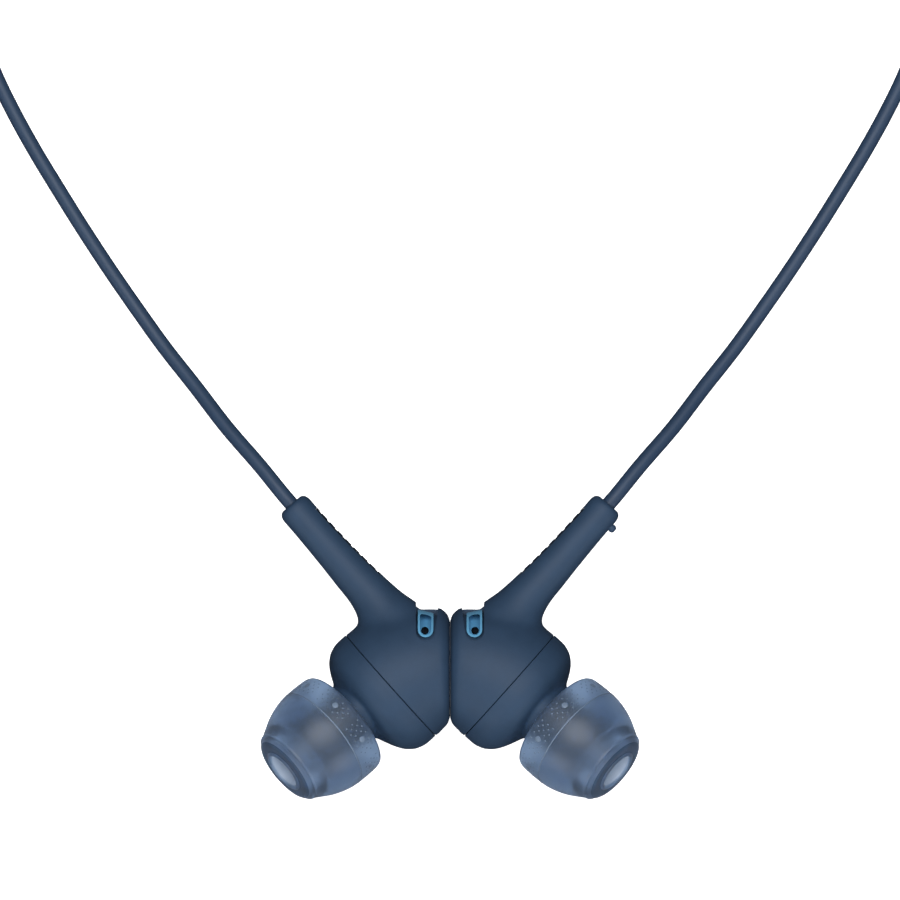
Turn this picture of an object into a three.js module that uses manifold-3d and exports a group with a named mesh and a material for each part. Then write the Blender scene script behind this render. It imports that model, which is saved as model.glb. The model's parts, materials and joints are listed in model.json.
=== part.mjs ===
// Neckband earphones: two magnetic in-ear buds on round cables, an in-line control pod on the
// left cable, a battery pod on the right cable, and a neck cable between the pods. The pair lies
// flat, buds latched back to back, with the neck cable wound into a small coil between the pods.
// Millimetres, +Z up, origin under the middle of the box around the buds and pods.
import * as THREE from "three";
import { mergeVertices } from "three/addons/utils/BufferGeometryUtils.js";
import Module from "manifold-3d";

const wasm = await Module();
wasm.setup();

// ---- driving dimensions -------------------------------------------------------------------
const PAIR_Y = -63.86; // where the latched back discs are centred
const MID_Z = 8.12; // height of the buds' mid-plane above the table
const BACK_GAP = 0.15; // each back disc stands this far from the plane between the buds

const SEAM_RADIUS = 8.1; // shell radius at the parting line
const SEAM_TILT = THREE.MathUtils.degToRad(41.8); // driver axis below the buds' common axis
const SEAM_CENTRE = [-7.14, -1.75];
const SEAM_HALF_GAP = 0.09;
const WALL = 1.15;

const STEM_END = [-19.1, 20.1]; // middle of the stem's cable end
const STEM_DIRECTION = [0.656, -0.755]; // from the cable end towards the housing
const BORE_RADIUS = 1.2;

const NOZZLE_ROOT = [-9.1, -3.0];
const NOZZLE_FALL = THREE.MathUtils.degToRad(39.5); // in plan, below the common axis
const NOZZLE_RISE = THREE.MathUtils.degToRad(20); // towards +Z
const NOZZLE_END = 12.05; // along the nozzle axis
const TIP_START = 5.2; // the tip's rear rim, along the nozzle axis

const CABLE_RADIUS = 0.9;
const CABLE_SIDES = 8;
const TABLE_REST = CABLE_RADIUS + 0.025; // centreline height of a cable that lies on the table

const POD_X = 46;
const POD_Y = PAIR_Y + 117;
const POD = { width: 12, length: 42, height: 8, corner: 5.5, round: 2.2, wall: 1.2 };
const POD_SPLIT = 4;
const POD_END = 26; // from a pod's middle to the end of its strain relief

const COIL_Y = PAIR_Y + 115;
const COIL_INNER = 8.65;
const COIL_OUTER = 12.35;
const COIL_HEIGHT = 3.65;

const ROUND = 20; // segments of a large turned piece
const SMALL_ROUND = 14;

// ---- materials ----------------------------------------------------------------------------
const finish = (color, roughness, metalness = 0) =>
  new THREE.MeshStandardMaterial({ color, roughness, metalness });

const SHELL_BLUE = finish(0x33455c, 0.55);
const GRIP_DARK = finish(0x1b222d, 0.8);
const SILICONE = finish(0x6f8198, 0.5);
const DUCT_BLUE = finish(0x4f87ab, 0.4);
const CABLE_BLUE = finish(0x2b3d54, 0.6);
const STEEL = finish(0xa8adb2, 0.35, 1);
const MAGNET = finish(0x8c9094, 0.3, 1);
const COPPER = finish(0xb87333, 0.4, 1);
const FILM = finish(0xcfd4da, 0.5);
const DRIVER_PLASTIC = finish(0x22252a, 0.6);
const BOARD_GREEN = finish(0x1f5a3c, 0.5);
const CHIP_BLACK = finish(0x17181a, 0.5);
const CELL_SILVER = finish(0xb9bec4, 0.4);
const LIGHT_PIPE = finish(0xdfe6ee, 0.2);

// ---- solids -------------------------------------------------------------------------------
function solid(geometry) {
  const bare = geometry.index ? geometry.toNonIndexed() : geometry.clone();
  bare.deleteAttribute("normal");
  bare.deleteAttribute("uv");
  const merged = mergeVertices(bare, 1e-4);
  return new wasm.Manifold(
    new wasm.Mesh({
      numProp: 3,
      vertProperties: merged.attributes.position.array,
      triVerts: new Uint32Array(merged.index.array),
    }),
  );
}

function geometryOf(manifold) {
  const made = manifold.getMesh();
  const stride = made.numProp;
  const points = new Float32Array(made.numVert * 3);
  for (let i = 0; i < made.numVert; i++) {
    points.set(made.vertProperties.subarray(i * stride, i * stride + 3), i * 3);
  }
  return new THREE.BufferGeometry()
    .setAttribute("position", new THREE.BufferAttribute(points, 3))
    .setIndex(new THREE.BufferAttribute(made.triVerts, 1));
}

const join = (first, ...rest) => rest.reduce((whole, part) => whole.add(part), first);
const cut = (first, ...rest) => rest.reduce((whole, part) => whole.subtract(part), first);

function mesh(name, shape, material) {
  const geometry = shape.isBufferGeometry ? shape : geometryOf(shape);
  geometry.computeVertexNormals();
  const made = new THREE.Mesh(geometry, material);
  made.name = name;
  return made;
}

// A turned geometry. Its profile is [radius, height] points, from axis to axis or a closed loop.
function turned(profile, segments = ROUND) {
  const closed = profile.some(([r]) => r === 0) ? profile : [...profile, profile[0]];
  const area = closed.reduce((sum, [r, h], i) => {
    const [r2, h2] = closed[(i + 1) % closed.length];
    return sum + r * h2 - r2 * h;
  }, 0);
  const ordered = area > 0 ? closed : [...closed].reverse();
  return new THREE.LatheGeometry(
    ordered.map(([r, h]) => new THREE.Vector2(r, h)),
    segments,
  );
}

const rod = (radius, from, to, segments = SMALL_ROUND) =>
  turned([[0, from], [radius, from], [radius, to], [0, to]], segments);

// Moves a geometry made along +Y so that it starts at origin and runs along direction.
function along(geometry, origin, direction) {
  const turn = new THREE.Quaternion().setFromUnitVectors(
    new THREE.Vector3(0, 1, 0),
    new THREE.Vector3(...direction).normalize(),
  );
  const place = new THREE.Vector3(...origin);
  return geometry.applyMatrix4(
    new THREE.Matrix4().compose(place, turn, new THREE.Vector3(1, 1, 1)),
  );
}

function box([x0, y0, z0], [x1, y1, z1]) {
  return new THREE.BoxGeometry(x1 - x0, y1 - y0, z1 - z0).translate(
    (x0 + x1) / 2,
    (y0 + y1) / 2,
    (z0 + z1) / 2,
  );
}

// A closed skin over rings of points that all have the same number of points.
function loft(rings) {
  const count = rings[0].length;
  const middle = (ring) =>
    ring.reduce((sum, p) => sum.add(p), new THREE.Vector3()).divideScalar(count);
  const points = [...rings.flat(), middle(rings[0]), middle(rings.at(-1))];
  const first = points.length - 2;
  const faces = [];
  for (let ring = 0; ring + 1 < rings.length; ring++) {
    for (let i = 0; i < count; i++) {
      const a = ring * count + i;
      const b = ring * count + ((i + 1) % count);
      faces.push(a, b, b + count, a, b + count, a + count);
    }
  }
  const last = (rings.length - 1) * count;
  for (let i = 0; i < count; i++) {
    const next = (i + 1) % count;
    faces.push(first, next, i, first + 1, last + i, last + next);
  }
  return new THREE.BufferGeometry().setFromPoints(points).setIndex(faces);
}

// A ring of points around centre, in the plane of the unit vectors side and +Z.
function ring(centre, side, halfSide, halfHeight, count = ROUND) {
  return Array.from({ length: count }, (_, i) => {
    const angle = (2 * Math.PI * i) / count;
    const out = halfSide * Math.cos(angle);
    return new THREE.Vector3(
      centre[0] + out * side[0],
      centre[1] + out * side[1],
      halfHeight * Math.sin(angle),
    );
  });
}

// A ring that crosses the plan view from one point to another.
function ringAcross([low, high, halfHeight]) {
  const span = [high[0] - low[0], high[1] - low[1]];
  const length = Math.hypot(...span);
  const centre = [(low[0] + high[0]) / 2, (low[1] + high[1]) / 2];
  return ring(centre, [span[0] / length, span[1] / length], length / 2, halfHeight);
}

// A round tube along a smooth curve through points.
function tube(points, radius, sides, steps) {
  const section = new THREE.Shape(
    Array.from({ length: sides }, (_, i) => {
      const angle = (2 * Math.PI * i) / sides;
      return new THREE.Vector2(radius * Math.cos(angle), radius * Math.sin(angle));
    }),
  );
  const path = new THREE.CatmullRomCurve3(points.map((p) => new THREE.Vector3(...p)));
  return new THREE.ExtrudeGeometry(section, { steps, extrudePath: path, bevelEnabled: false });
}

// ---- one bud, as the right-hand one (on the -X side), around the middle of its back disc ----
const SEAM_BACK = [Math.cos(SEAM_TILT), Math.sin(SEAM_TILT)]; // from the parting line backwards
const SEAM_SIDE = [-Math.sin(SEAM_TILT), Math.cos(SEAM_TILT)];
const DRIVER_ORIGIN = [...SEAM_CENTRE, 0];
const DRIVER_AXIS = [-SEAM_BACK[0], -SEAM_BACK[1], 0];
const STEM_SIDE = [0.755, 0.656]; // towards the stem's inner side
const NOZZLE_ORIGIN = [...NOZZLE_ROOT, 0];
const NOZZLE_AXIS = [
  -Math.cos(NOZZLE_RISE) * Math.cos(NOZZLE_FALL),
  -Math.cos(NOZZLE_RISE) * Math.sin(NOZZLE_FALL),
  Math.sin(NOZZLE_RISE),
];

// The point that is a distance back from the parting line along the driver axis, and up beside it.
const behindSeam = (back, up = 0) => [
  SEAM_CENTRE[0] + back * SEAM_BACK[0] + up * SEAM_SIDE[0],
  SEAM_CENTRE[1] + back * SEAM_BACK[1] + up * SEAM_SIDE[1],
];

// The point in the stem that is a distance from its cable end, shifted towards its inner side.
const inStem = (from, shift = 0) => [
  STEM_END[0] + from * STEM_DIRECTION[0] + shift * STEM_SIDE[0],
  STEM_END[1] + from * STEM_DIRECTION[1] + shift * STEM_SIDE[1],
];

// [bottom and top of a section across the plan view, half depth], from the parting line back
const OUTER_SECTIONS = [
  [behindSeam(SEAM_HALF_GAP, -SEAM_RADIUS), behindSeam(SEAM_HALF_GAP, SEAM_RADIUS), SEAM_RADIUS],
  [[-1.3, -7.5], [-10.6, 5.75], 8.05],
  [[-1.1, -7.25], [-7.8, 6.85], 7.95],
  [[-0.9, -7.05], [-4.4, 7.5], 7.75],
  [[-0.7, -6.85], [-1.5, 7.6], 7.4],
  [[-0.5, -6.62], [-0.7, 7.15], 7.05],
  [[-0.33, -6.35], [-0.33, 6.75], 6.62],
  [[-BACK_GAP, -5.7], [-BACK_GAP, 5.95], 5.8],
];
const CAVITY_RADIUS = SEAM_RADIUS - WALL;
const INNER_SECTIONS = [
  [behindSeam(-0.5, -CAVITY_RADIUS), behindSeam(-0.5, CAVITY_RADIUS), CAVITY_RADIUS],
  [behindSeam(0.8, -CAVITY_RADIUS), behindSeam(0.8, CAVITY_RADIUS), CAVITY_RADIUS],
  [[-1.75, -6.3], [-9.2, 4.9], 6.7],
  [[-1.6, -6.15], [-5.5, 6.0], 6.5],
  [[-1.3, -5.9], [-1.3, 6.1], 6.2],
];

// [distance from the cable end, shift to the inner side, half width, half depth]
const STEM_SECTIONS = [
  [0, 0, 1.55, 1.65],
  [0.25, 0, 1.85, 1.95],
  [0.9, 0, 2.04, 2.1],
  [4.6, 0, 2.1, 2.15],
  [8.5, 0.02, 2.24, 2.32],
  [11.8, 0.05, 2.44, 2.52],
  [13.5, 0.08, 2.58, 2.7],
  [15.2, 0, 2.86, 3.0],
  [17.0, -0.25, 3.4, 3.5],
  [18.9, -0.5, 4.05, 4.3],
  [20.8, -0.9, 3.9, 4.3],
];

function stem() {
  return loft(
    STEM_SECTIONS.map(([distance, shift, width, depth]) =>
      ring(inStem(distance, shift), STEM_SIDE, width, depth, SMALL_ROUND),
    ),
  );
}

const GRIP_START = 2.4;
const GRIP_END = 13.5;
const GRIP_RIBS = 8;

// A block on the stem's inner side, between two distances from its cable end.
function stemBlock(from, to, low, high, halfDepth) {
  const angle = Math.atan2(STEM_SIDE[1], STEM_SIDE[0]);
  const middle = inStem((from + to) / 2);
  return box([low, (from - to) / 2, -halfDepth], [high, (to - from) / 2, halfDepth])
    .rotateZ(angle)
    .translate(middle[0], middle[1], 0);
}

// The slot for the bass duct: a U seen from above, open at the housing's top edge.
function ductOutline(left, right, bottom) {
  const shape = new THREE.Shape();
  const radius = (right - left) / 2;
  shape.moveTo(left, 9);
  shape.lineTo(left, bottom + radius);
  shape.absarc(left + radius, bottom + radius, radius, Math.PI, 2 * Math.PI, false);
  shape.lineTo(right, 9);
  return shape;
}

const ductPrism = (left, right, bottom, low, high) =>
  new THREE.ExtrudeGeometry(ductOutline(left, right, bottom), {
    depth: high - low,
    bevelEnabled: false,
    curveSegments: 8,
  }).translate(0, 0, low);

const DUCT = { left: -4.09, right: -1.66, bottom: 3.85, clearance: 0.25, rim: 0.3 };
const acrossX = (radius, low, high) => along(rod(radius, low, high, ROUND), [0, 0, 0], [1, 0, 0]);

function rearShell(withDot) {
  const outer = join(solid(loft(OUTER_SECTIONS.map(ringAcross))), solid(stem()));
  const bore = along(
    rod(BORE_RADIUS, -1, 19.5, 12),
    [...inStem(0), 0],
    [...STEM_DIRECTION, 0],
  );
  const shell = cut(
    outer,
    solid(loft(INNER_SECTIONS.map(ringAcross))),
    solid(bore),
    solid(ductPrism(DUCT.left, DUCT.right, DUCT.bottom, -1.6, 10)),
    solid(stemBlock(GRIP_START, GRIP_END, 1.45, 4, 1.1)),
  );
  if (!withDot) return shell;
  const dot = new THREE.SphereGeometry(0.55, 8, 6).translate(...inStem(2.6, -2.1), 0.2);
  return join(shell, solid(dot));
}

function ductInsert() {
  const { left, right, bottom, clearance, rim } = DUCT;
  const outline = [left + clearance, right - clearance, bottom + clearance];
  const channel = [outline[0] + rim, outline[1] - rim, outline[2] + rim];
  const block = solid(ductPrism(...outline, -1.4, 9)).intersect(solid(acrossX(6.95, -5, 0)));
  const port = along(rod(0.42, -3, 3, 12), [-2.87, 4.95, 4.5], [0, 0.55, 0.83]);
  return cut(
    block,
    solid(acrossX(5.75, -6, 1)),
    solid(ductPrism(...channel, -1.0, 10)).subtract(solid(acrossX(6.35, -6, 1))),
    solid(port),
  );
}

// A comb seen from above: a base that fills the stem's slot, with ribs up to the stem's surface.
function gripStrip() {
  const start = GRIP_START + 0.2;
  const pitch = (GRIP_END - GRIP_START - 0.4) / (GRIP_RIBS + 0.4);
  const surface = (distance) => 1.9 + 0.052 * distance;
  const outline = [[start, 1.6]];
  for (let i = 0; i < GRIP_RIBS; i++) {
    const from = start + pitch * (i + 0.4);
    const to = from + pitch * 0.6;
    outline.push([from, surface(from) - 0.3], [from, surface(from)]);
    outline.push([to, surface(to)], [to, surface(to) - 0.3]);
  }
  outline.push([GRIP_END - 0.2, 1.6]);
  const shape = new THREE.Shape(outline.map(([d, shift]) => new THREE.Vector2(...inStem(d, shift))));
  return new THREE.ExtrudeGeometry(shape, { depth: 1.8, bevelEnabled: false }).translate(0, 0, -0.9);
}

// The oval boss under the ear tip, taller than it is wide.
function nozzleBoss() {
  const profile = [[0, 0.8], [4.1, 0.8], [3.9, 3.6], [3.75, 4.9], [3.4, 5.6], [0, 5.6]];
  const side = new THREE.Vector3(Math.sin(NOZZLE_FALL), -Math.cos(NOZZLE_FALL), 0);
  const axis = new THREE.Vector3(...NOZZLE_AXIS);
  const frame = new THREE.Matrix4().makeBasis(side, axis, side.clone().cross(axis));
  return turned(profile, 16)
    .scale(1, 1, 1.42)
    .applyMatrix4(frame.setPosition(...NOZZLE_ORIGIN));
}

function frontShell() {
  const dome = turned([
    [0, 5.75],
    [3.6, 5.45],
    [4.7, 5.05],
    [5.85, 4.45],
    [6.85, 3.8],
    [7.6, 2.95],
    [8.0, 2.0],
    [SEAM_RADIUS, 1.0],
    [SEAM_RADIUS, SEAM_HALF_GAP],
    [6.55, SEAM_HALF_GAP],
    [6.55, -0.6],
    [6.3, -0.6],
    [6.3, 1.6],
    [5.6, 2.9],
    [3.5, 3.8],
    [0, 4.1],
  ]);
  const nozzle = rod(2.65, 1.2, NOZZLE_END);
  return cut(
    join(
      solid(along(dome, DRIVER_ORIGIN, DRIVER_AXIS)),
      solid(nozzleBoss()),
      solid(along(nozzle, NOZZLE_ORIGIN, NOZZLE_AXIS)),
    ),
    solid(along(rod(1.9, -1, 13), NOZZLE_ORIGIN, NOZZLE_AXIS)),
    solid(along(rod(2.2, NOZZLE_END - 0.7, 13), NOZZLE_ORIGIN, NOZZLE_AXIS)),
  );
}

// [radius, distance from the rear rim]: thin skirt outside, thick core that grips the nozzle.
const TIP_PROFILE = [
  [6.62, 0],
  [6.84, 1.9],
  [6.78, 4.0],
  [6.45, 5.6],
  [5.75, 7.3],
  [4.85, 8.9],
  [4.2, 9.6],
  [2.5, 10.0],
  [2.05, 9.4],
  [2.05, 7.25],
  [3.0, 7.25],
  [3.0, 1.5],
  [3.75, 1.5],
  [3.95, 6.6],
  [4.8, 7.2],
  [5.85, 5.85],
  [6.3, 4.0],
  [6.1, 0],
];

function earTip() {
  const raised = TIP_PROFILE.map(([r, h]) => [r, h + TIP_START]);
  return along(turned(raised), NOZZLE_ORIGIN, NOZZLE_AXIS);
}

const onDriverAxis = (profile, segments) =>
  along(turned(profile, segments), DRIVER_ORIGIN, DRIVER_AXIS);

const driverFrame = () =>
  onDriverAxis([
    [6.0, -1.2],
    [6.0, 0.15],
    [5.0, 0.15],
    [5.0, -0.8],
    [4.2, -0.8],
    [4.2, -1.2],
  ], ROUND);

const driverYoke = () =>
  onDriverAxis([
    [0, -2.5],
    [3.9, -2.5],
    [3.9, -0.4],
    [3.45, -0.4],
    [3.45, -2.0],
    [0, -2.0],
  ], SMALL_ROUND);

const diaphragm = () =>
  onDriverAxis([
    [0, 1.3],
    [1.6, 1.15],
    [3.2, 0.65],
    [4.3, 1.1],
    [5.2, 0.65],
    [5.6, 0.65],
    [5.6, 0.45],
    [5.1, 0.45],
    [4.3, 0.85],
    [3.3, 0.45],
    [2.7, 0.45],
    [1.5, 0.95],
    [0, 1.1],
  ], 16);

const voiceCoil = () =>
  onDriverAxis([
    [2.85, -1.5],
    [3.1, -1.5],
    [3.1, 0.2],
    [2.85, 0.2],
  ], SMALL_ROUND);

const onDriver = (radius, from, to) =>
  along(rod(radius, from, to), DRIVER_ORIGIN, DRIVER_AXIS);

function innerWires() {
  const leave = inStem(4);
  const halfway = inStem(11);
  const mouth = inStem(18);
  return tube(
    [
      [...leave, 0],
      [...halfway, 0],
      [...mouth, 0],
      [...behindSeam(4.9, 2.6), 0],
      [...behindSeam(3.45, 0.9), 0],
    ],
    0.4,
    6,
    12,
  );
}

function bud(side, withDot) {
  const name = (piece) => `${side}_${piece}`;
  const crimp = along(
    rod(0.85, 1.4, 3.6, 12),
    [...inStem(0), 0],
    [...STEM_DIRECTION, 0],
  );
  const latchMagnet = along(rod(2.6, -2.9, -1.5), [0, 2.4, 0], [1, 0, 0]);
  const nozzleMesh = along(
    rod(2.0, NOZZLE_END - 0.55, NOZZLE_END - 0.3),
    NOZZLE_ORIGIN,
    NOZZLE_AXIS,
  );
  const group = new THREE.Group();
  group.add(
    mesh(name("rear_shell"), rearShell(withDot), SHELL_BLUE),
    mesh(name("front_shell"), frontShell(), SHELL_BLUE),
    mesh(name("bass_duct"), ductInsert(), DUCT_BLUE),
    mesh(name("stem_grip"), gripStrip(), GRIP_DARK),
    mesh(name("ear_tip"), earTip(), SILICONE),
    mesh(name("nozzle_mesh"), nozzleMesh, STEEL),
    mesh(name("driver_frame"), driverFrame(), DRIVER_PLASTIC),
    mesh(name("driver_yoke"), driverYoke(), STEEL),
    mesh(name("driver_magnet"), onDriver(2.55, -1.85, -0.95), MAGNET),
    mesh(name("pole_plate"), onDriver(2.6, -0.8, -0.35), STEEL),
    mesh(name("voice_coil"), voiceCoil(), COPPER),
    mesh(name("diaphragm"), diaphragm(), FILM),
    mesh(name("latch_magnet"), latchMagnet, MAGNET),
    mesh(name("cable_crimp"), crimp, STEEL),
    mesh(name("inner_wires"), innerWires(), COPPER),
  );
  group.position.set(0, PAIR_Y, MID_Z);
  return group;
}

// ---- pods, each around the middle of its underside, with its length along Y -----------------
function roundedRectangle(width, length, corner) {
  const x = width / 2;
  const y = length / 2;
  const shape = new THREE.Shape();
  shape.absarc(x - corner, y - corner, corner, 0, Math.PI / 2);
  shape.absarc(corner - x, y - corner, corner, Math.PI / 2, Math.PI);
  shape.absarc(corner - x, corner - y, corner, Math.PI, 1.5 * Math.PI);
  shape.absarc(x - corner, corner - y, corner, 1.5 * Math.PI, 2 * Math.PI);
  return shape;
}

// A rounded block that is inset from the pod's outer shape all round.
function podBlock(inset) {
  const round = Math.max(POD.round - inset, 0.6);
  const width = POD.width - 2 * inset - 2 * round;
  const length = POD.length - 2 * inset - 2 * round;
  const corner = POD.corner - inset - round;
  return new THREE.ExtrudeGeometry(roundedRectangle(width, length, corner), {
    depth: POD.height - 2 * inset - 2 * round,
    bevelSize: round,
    bevelThickness: round,
    bevelSegments: 2,
    curveSegments: 3,
  }).translate(0, 0, inset + round);
}

const REACH = 60; // larger than a pod

function podHalf(low, high) {
  const hole = along(rod(2.05, -REACH, REACH, 16), [0, 0, POD_SPLIT], [0, 1, 0]);
  return cut(
    solid(podBlock(0)).intersect(solid(box([-REACH, -REACH, low], [REACH, REACH, high]))),
    solid(podBlock(POD.wall)),
    solid(hole),
  );
}

const podBottom = () => podHalf(-1, POD_SPLIT - 0.08);
const podTop = () => podHalf(POD_SPLIT + 0.08, REACH);

function strainRelief(end) {
  const profile = [
    [0, 18.4],
    [2.35, 18.4],
    [2.35, 19.2],
    [1.75, 19.2],
    [1.75, 21.3],
    [2.1, 21.5],
    [1.95, 22.6],
    [1.3, POD_END],
    [0, POD_END],
  ];
  return along(turned(profile, 16), [0, 0, POD_SPLIT], [0, end, 0]);
}

const BUTTON = { width: 5.4, length: 5.6, gap: 0.25, top: 8.35, low: 5.7, post: 4.7 };
const BUTTONS = [
  ["volume_up_button", 13],
  ["play_button", 6],
  ["volume_down_button", -1],
];

function plate(width, length, corner, low, high, edge = 0) {
  return new THREE.ExtrudeGeometry(
    roundedRectangle(width - 2 * edge, length - 2 * edge, corner - edge),
    {
      depth: high - low - 2 * edge,
      bevelEnabled: edge > 0,
      bevelSize: edge,
      bevelThickness: edge,
      bevelSegments: 1,
      curveSegments: 3,
    },
  ).translate(0, 0, low + edge);
}

function pushButton(y) {
  const cap = plate(BUTTON.width, BUTTON.length, 1.6, BUTTON.low, BUTTON.top, 0.3);
  const flange = plate(BUTTON.width + 1, BUTTON.length + 0.8, 2, BUTTON.low, BUTTON.low + 0.6);
  const post = along(rod(0.9, BUTTON.post, BUTTON.low + 0.5, 10), [0, 0, 0], [0, 0, 1]);
  return geometryOf(join(solid(cap), solid(flange), solid(post))).translate(0, y, 0);
}

const USB = { y: -10, z: 5.05, width: 8.9, height: 3.2, inner: 45.0 - POD_X, outer: 51.7 - POD_X };
const POWER = { y: -10, z: POD_SPLIT + 0.4, length: 4.6, height: 1.8 };

// A plate whose length runs along Y and whose thickness runs along X, from x0 to x1.
function sidePlate(length, height, corner, x0, x1, y, z) {
  return plate(height, length, corner, x0, x1).rotateY(Math.PI / 2).translate(0, y, z);
}

function controlTop() {
  const openings = BUTTONS.map(([, y]) =>
    solid(
      plate(
        BUTTON.width + 2 * BUTTON.gap,
        BUTTON.length + 2 * BUTTON.gap,
        1.8,
        POD_SPLIT + 1,
        REACH,
      ).translate(0, y, 0),
    ),
  );
  const upright = (radius, y) =>
    solid(along(rod(radius, POD_SPLIT + 1, REACH, 12), [0, y, 0], [0, 0, 1]));
  return cut(podTop(), ...openings, upright(0.45, 16.6), upright(0.95, -16.8), ...sideCuts());
}

const sideCuts = () => [
  solid(sidePlate(USB.width + 0.4, USB.height + 0.4, 1.5, 3, REACH, USB.y, USB.z)),
  solid(sidePlate(POWER.length + 0.5, POWER.height + 0.5, 1.0, -REACH, -3, POWER.y, POWER.z)),
];

function withPosts(half) {
  const posts = [-1, 1].flatMap((x) =>
    [-1, 1].map((y) => solid(box([x * 3 - 0.6, y * 16 - 0.6, 1], [x * 3 + 0.6, y * 16 + 0.6, 2.4]))),
  );
  return join(half, ...posts);
}

function usbSocket() {
  const shell = sidePlate(USB.width, USB.height, 1.3, USB.inner, USB.outer, USB.y, USB.z);
  const hollow = sidePlate(8.3, 2.6, 1.1, USB.inner + 0.8, REACH, USB.y, USB.z);
  const tongue = box(
    [USB.inner + 0.5, USB.y - 3.3, USB.z - 0.35],
    [USB.outer - 0.8, USB.y + 3.3, USB.z + 0.35],
  );
  return join(cut(solid(shell), solid(hollow)), solid(tongue));
}

function powerButton() {
  const cap = sidePlate(POWER.length, POWER.height, 0.8, -6.0, -3.6, POWER.y, POWER.z);
  const post = along(rod(0.5, -4, -3.2, 8), [0, POWER.y, POWER.z], [1, 0, 0]);
  return join(solid(cap), solid(post));
}

function controlPod() {
  const board = box([-4.1, -17.3, 2.6], [4.1, 17.3, 3.3]);
  const group = new THREE.Group();
  group.add(
    mesh("control_bottom_case", cut(withPosts(podBottom()), ...sideCuts()), SHELL_BLUE),
    mesh("control_top_case", controlTop(), SHELL_BLUE),
    mesh("main_board", board, BOARD_GREEN),
    mesh("usb_c_socket", usbSocket(), STEEL),
    mesh("power_button", powerButton(), SHELL_BLUE),
    mesh("power_switch", box([-2.85, -11.5, 3.45], [-1.4, -8.5, 5.2]), STEEL),
    mesh("bluetooth_chip", box([-3, 2, 1.5], [3, 8, 2.45]), CHIP_BLACK),
    mesh("microphone", box([-1.2, 16.0, 3.45], [1.2, 17.2, 4.5]), STEEL),
    mesh("status_led", box([-0.6, -17.2, 3.45], [0.6, -16.4, 4.0]), LIGHT_PIPE),
    mesh("light_pipe", along(rod(0.7, 4.3, 7.9, 12), [0, -16.8, 0], [0, 0, 1]), LIGHT_PIPE),
    mesh("control_relief_upper", strainRelief(1), CABLE_BLUE),
    mesh("control_relief_lower", strainRelief(-1), CABLE_BLUE),
  );
  for (const [name, y] of BUTTONS) {
    group.add(mesh(name, pushButton(y), SHELL_BLUE));
    const key = name.replace("_button", "_switch");
    group.add(mesh(key, box([-1.5, y - 1.5, 3.45], [1.5, y + 1.5, 4.4]), STEEL));
  }
  group.position.set(POD_X, POD_Y, 0);
  return group;
}

function batteryPod() {
  const cell = plate(8.6, 28, 2.2, 1.4, 6.4, 0.5).translate(0, -3, 0);
  const group = new THREE.Group();
  group.add(
    mesh("battery_bottom_case", podBottom(), SHELL_BLUE),
    mesh("battery_top_case", podTop(), SHELL_BLUE),
    mesh("battery_cell", cell, CELL_SILVER),
    mesh("protection_board", box([-3.8, 11.8, 2.6], [3.8, 17.6, 3.3]), BOARD_GREEN),
    mesh("battery_relief_upper", strainRelief(1), CABLE_BLUE),
    mesh("battery_relief_lower", strainRelief(-1), CABLE_BLUE),
  );
  group.position.set(-POD_X, POD_Y, 0);
  return group;
}

// ---- cables ---------------------------------------------------------------------------------
// The right bud's cable: [x, y from the pair, z]. It leaves the stem, sinks to the table, swings
// out and up past the battery pod and turns back down into the pod's upper strain relief.
const BUD_CABLE = [
  [...inStem(1), MID_Z],
  [...inStem(-1.6), MID_Z],
  [-23.0, 24.8, 7.1],
  [-27.0, 29.4, 5.2],
  [-30.7, 34.2, 3.2],
  [-34.5, 39.0, 1.7],
  [-37.95, 43.8, 1.0],
  [-41.2, 48.5, TABLE_REST],
  [-44.35, 53.3, TABLE_REST],
  [-47.35, 58.1, TABLE_REST],
  [-50.2, 62.8, TABLE_REST],
  [-52.85, 67.6, TABLE_REST],
  [-55.15, 72.4, TABLE_REST],
  [-57.0, 77.6, TABLE_REST],
  [-58.05, 84.0, TABLE_REST],
  [-58.2, 92.0, TABLE_REST],
  [-58.2, 104.0, TABLE_REST],
  [-58.2, 118.0, TABLE_REST],
  [-58.2, 130.0, TABLE_REST],
  [-58.2, 140.0, TABLE_REST],
  [-58.2, 144.4, TABLE_REST],
  [-57.4, 147.5, 1.1],
  [-55.2, 149.7, 1.5],
  [-52.1, 150.5, 2.1],
  [-49.0, 149.7, 2.8],
  [-46.8, 147.5, 3.4],
  [-46.0, 145.0, 3.9],
  [-46.0, 143.3, POD_SPLIT],
];

// The neck cable's run from the battery pod's lower strain relief to the coil.
const NECK_LEAD = [
  [-46.0, 90.7, POD_SPLIT],
  [-46.0, 89.3, 3.9],
  [-45.2, 86.6, 3.1],
  [-42.6, 84.2, 1.8],
  [-38.5, 83.2, 1.0],
  [-32.0, 83.0, TABLE_REST],
  [-24.0, 83.5, TABLE_REST],
  [-16.5, 85.8, TABLE_REST],
  [-9.8, 89.9, TABLE_REST],
  [-4.4, 94.6, TABLE_REST],
  [0, 98.9, TABLE_REST],
  [2.9, 101.8, TABLE_REST],
];

// Its last three points are higher where the cable leaves the coil, over the first run.
const CROSSING_RISE = [0, 0, 0, 0, 0, 0, 0, 0.2, 1.0, 1.8, 1.85, 1.85];

const fromPair = ([x, y, z]) => [x, y + PAIR_Y, z];
const mirrored = ([x, y, z]) => [-x, y, z];
const cable = (points, steps) => tube(points.map(fromPair), CABLE_RADIUS, CABLE_SIDES, steps);

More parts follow.
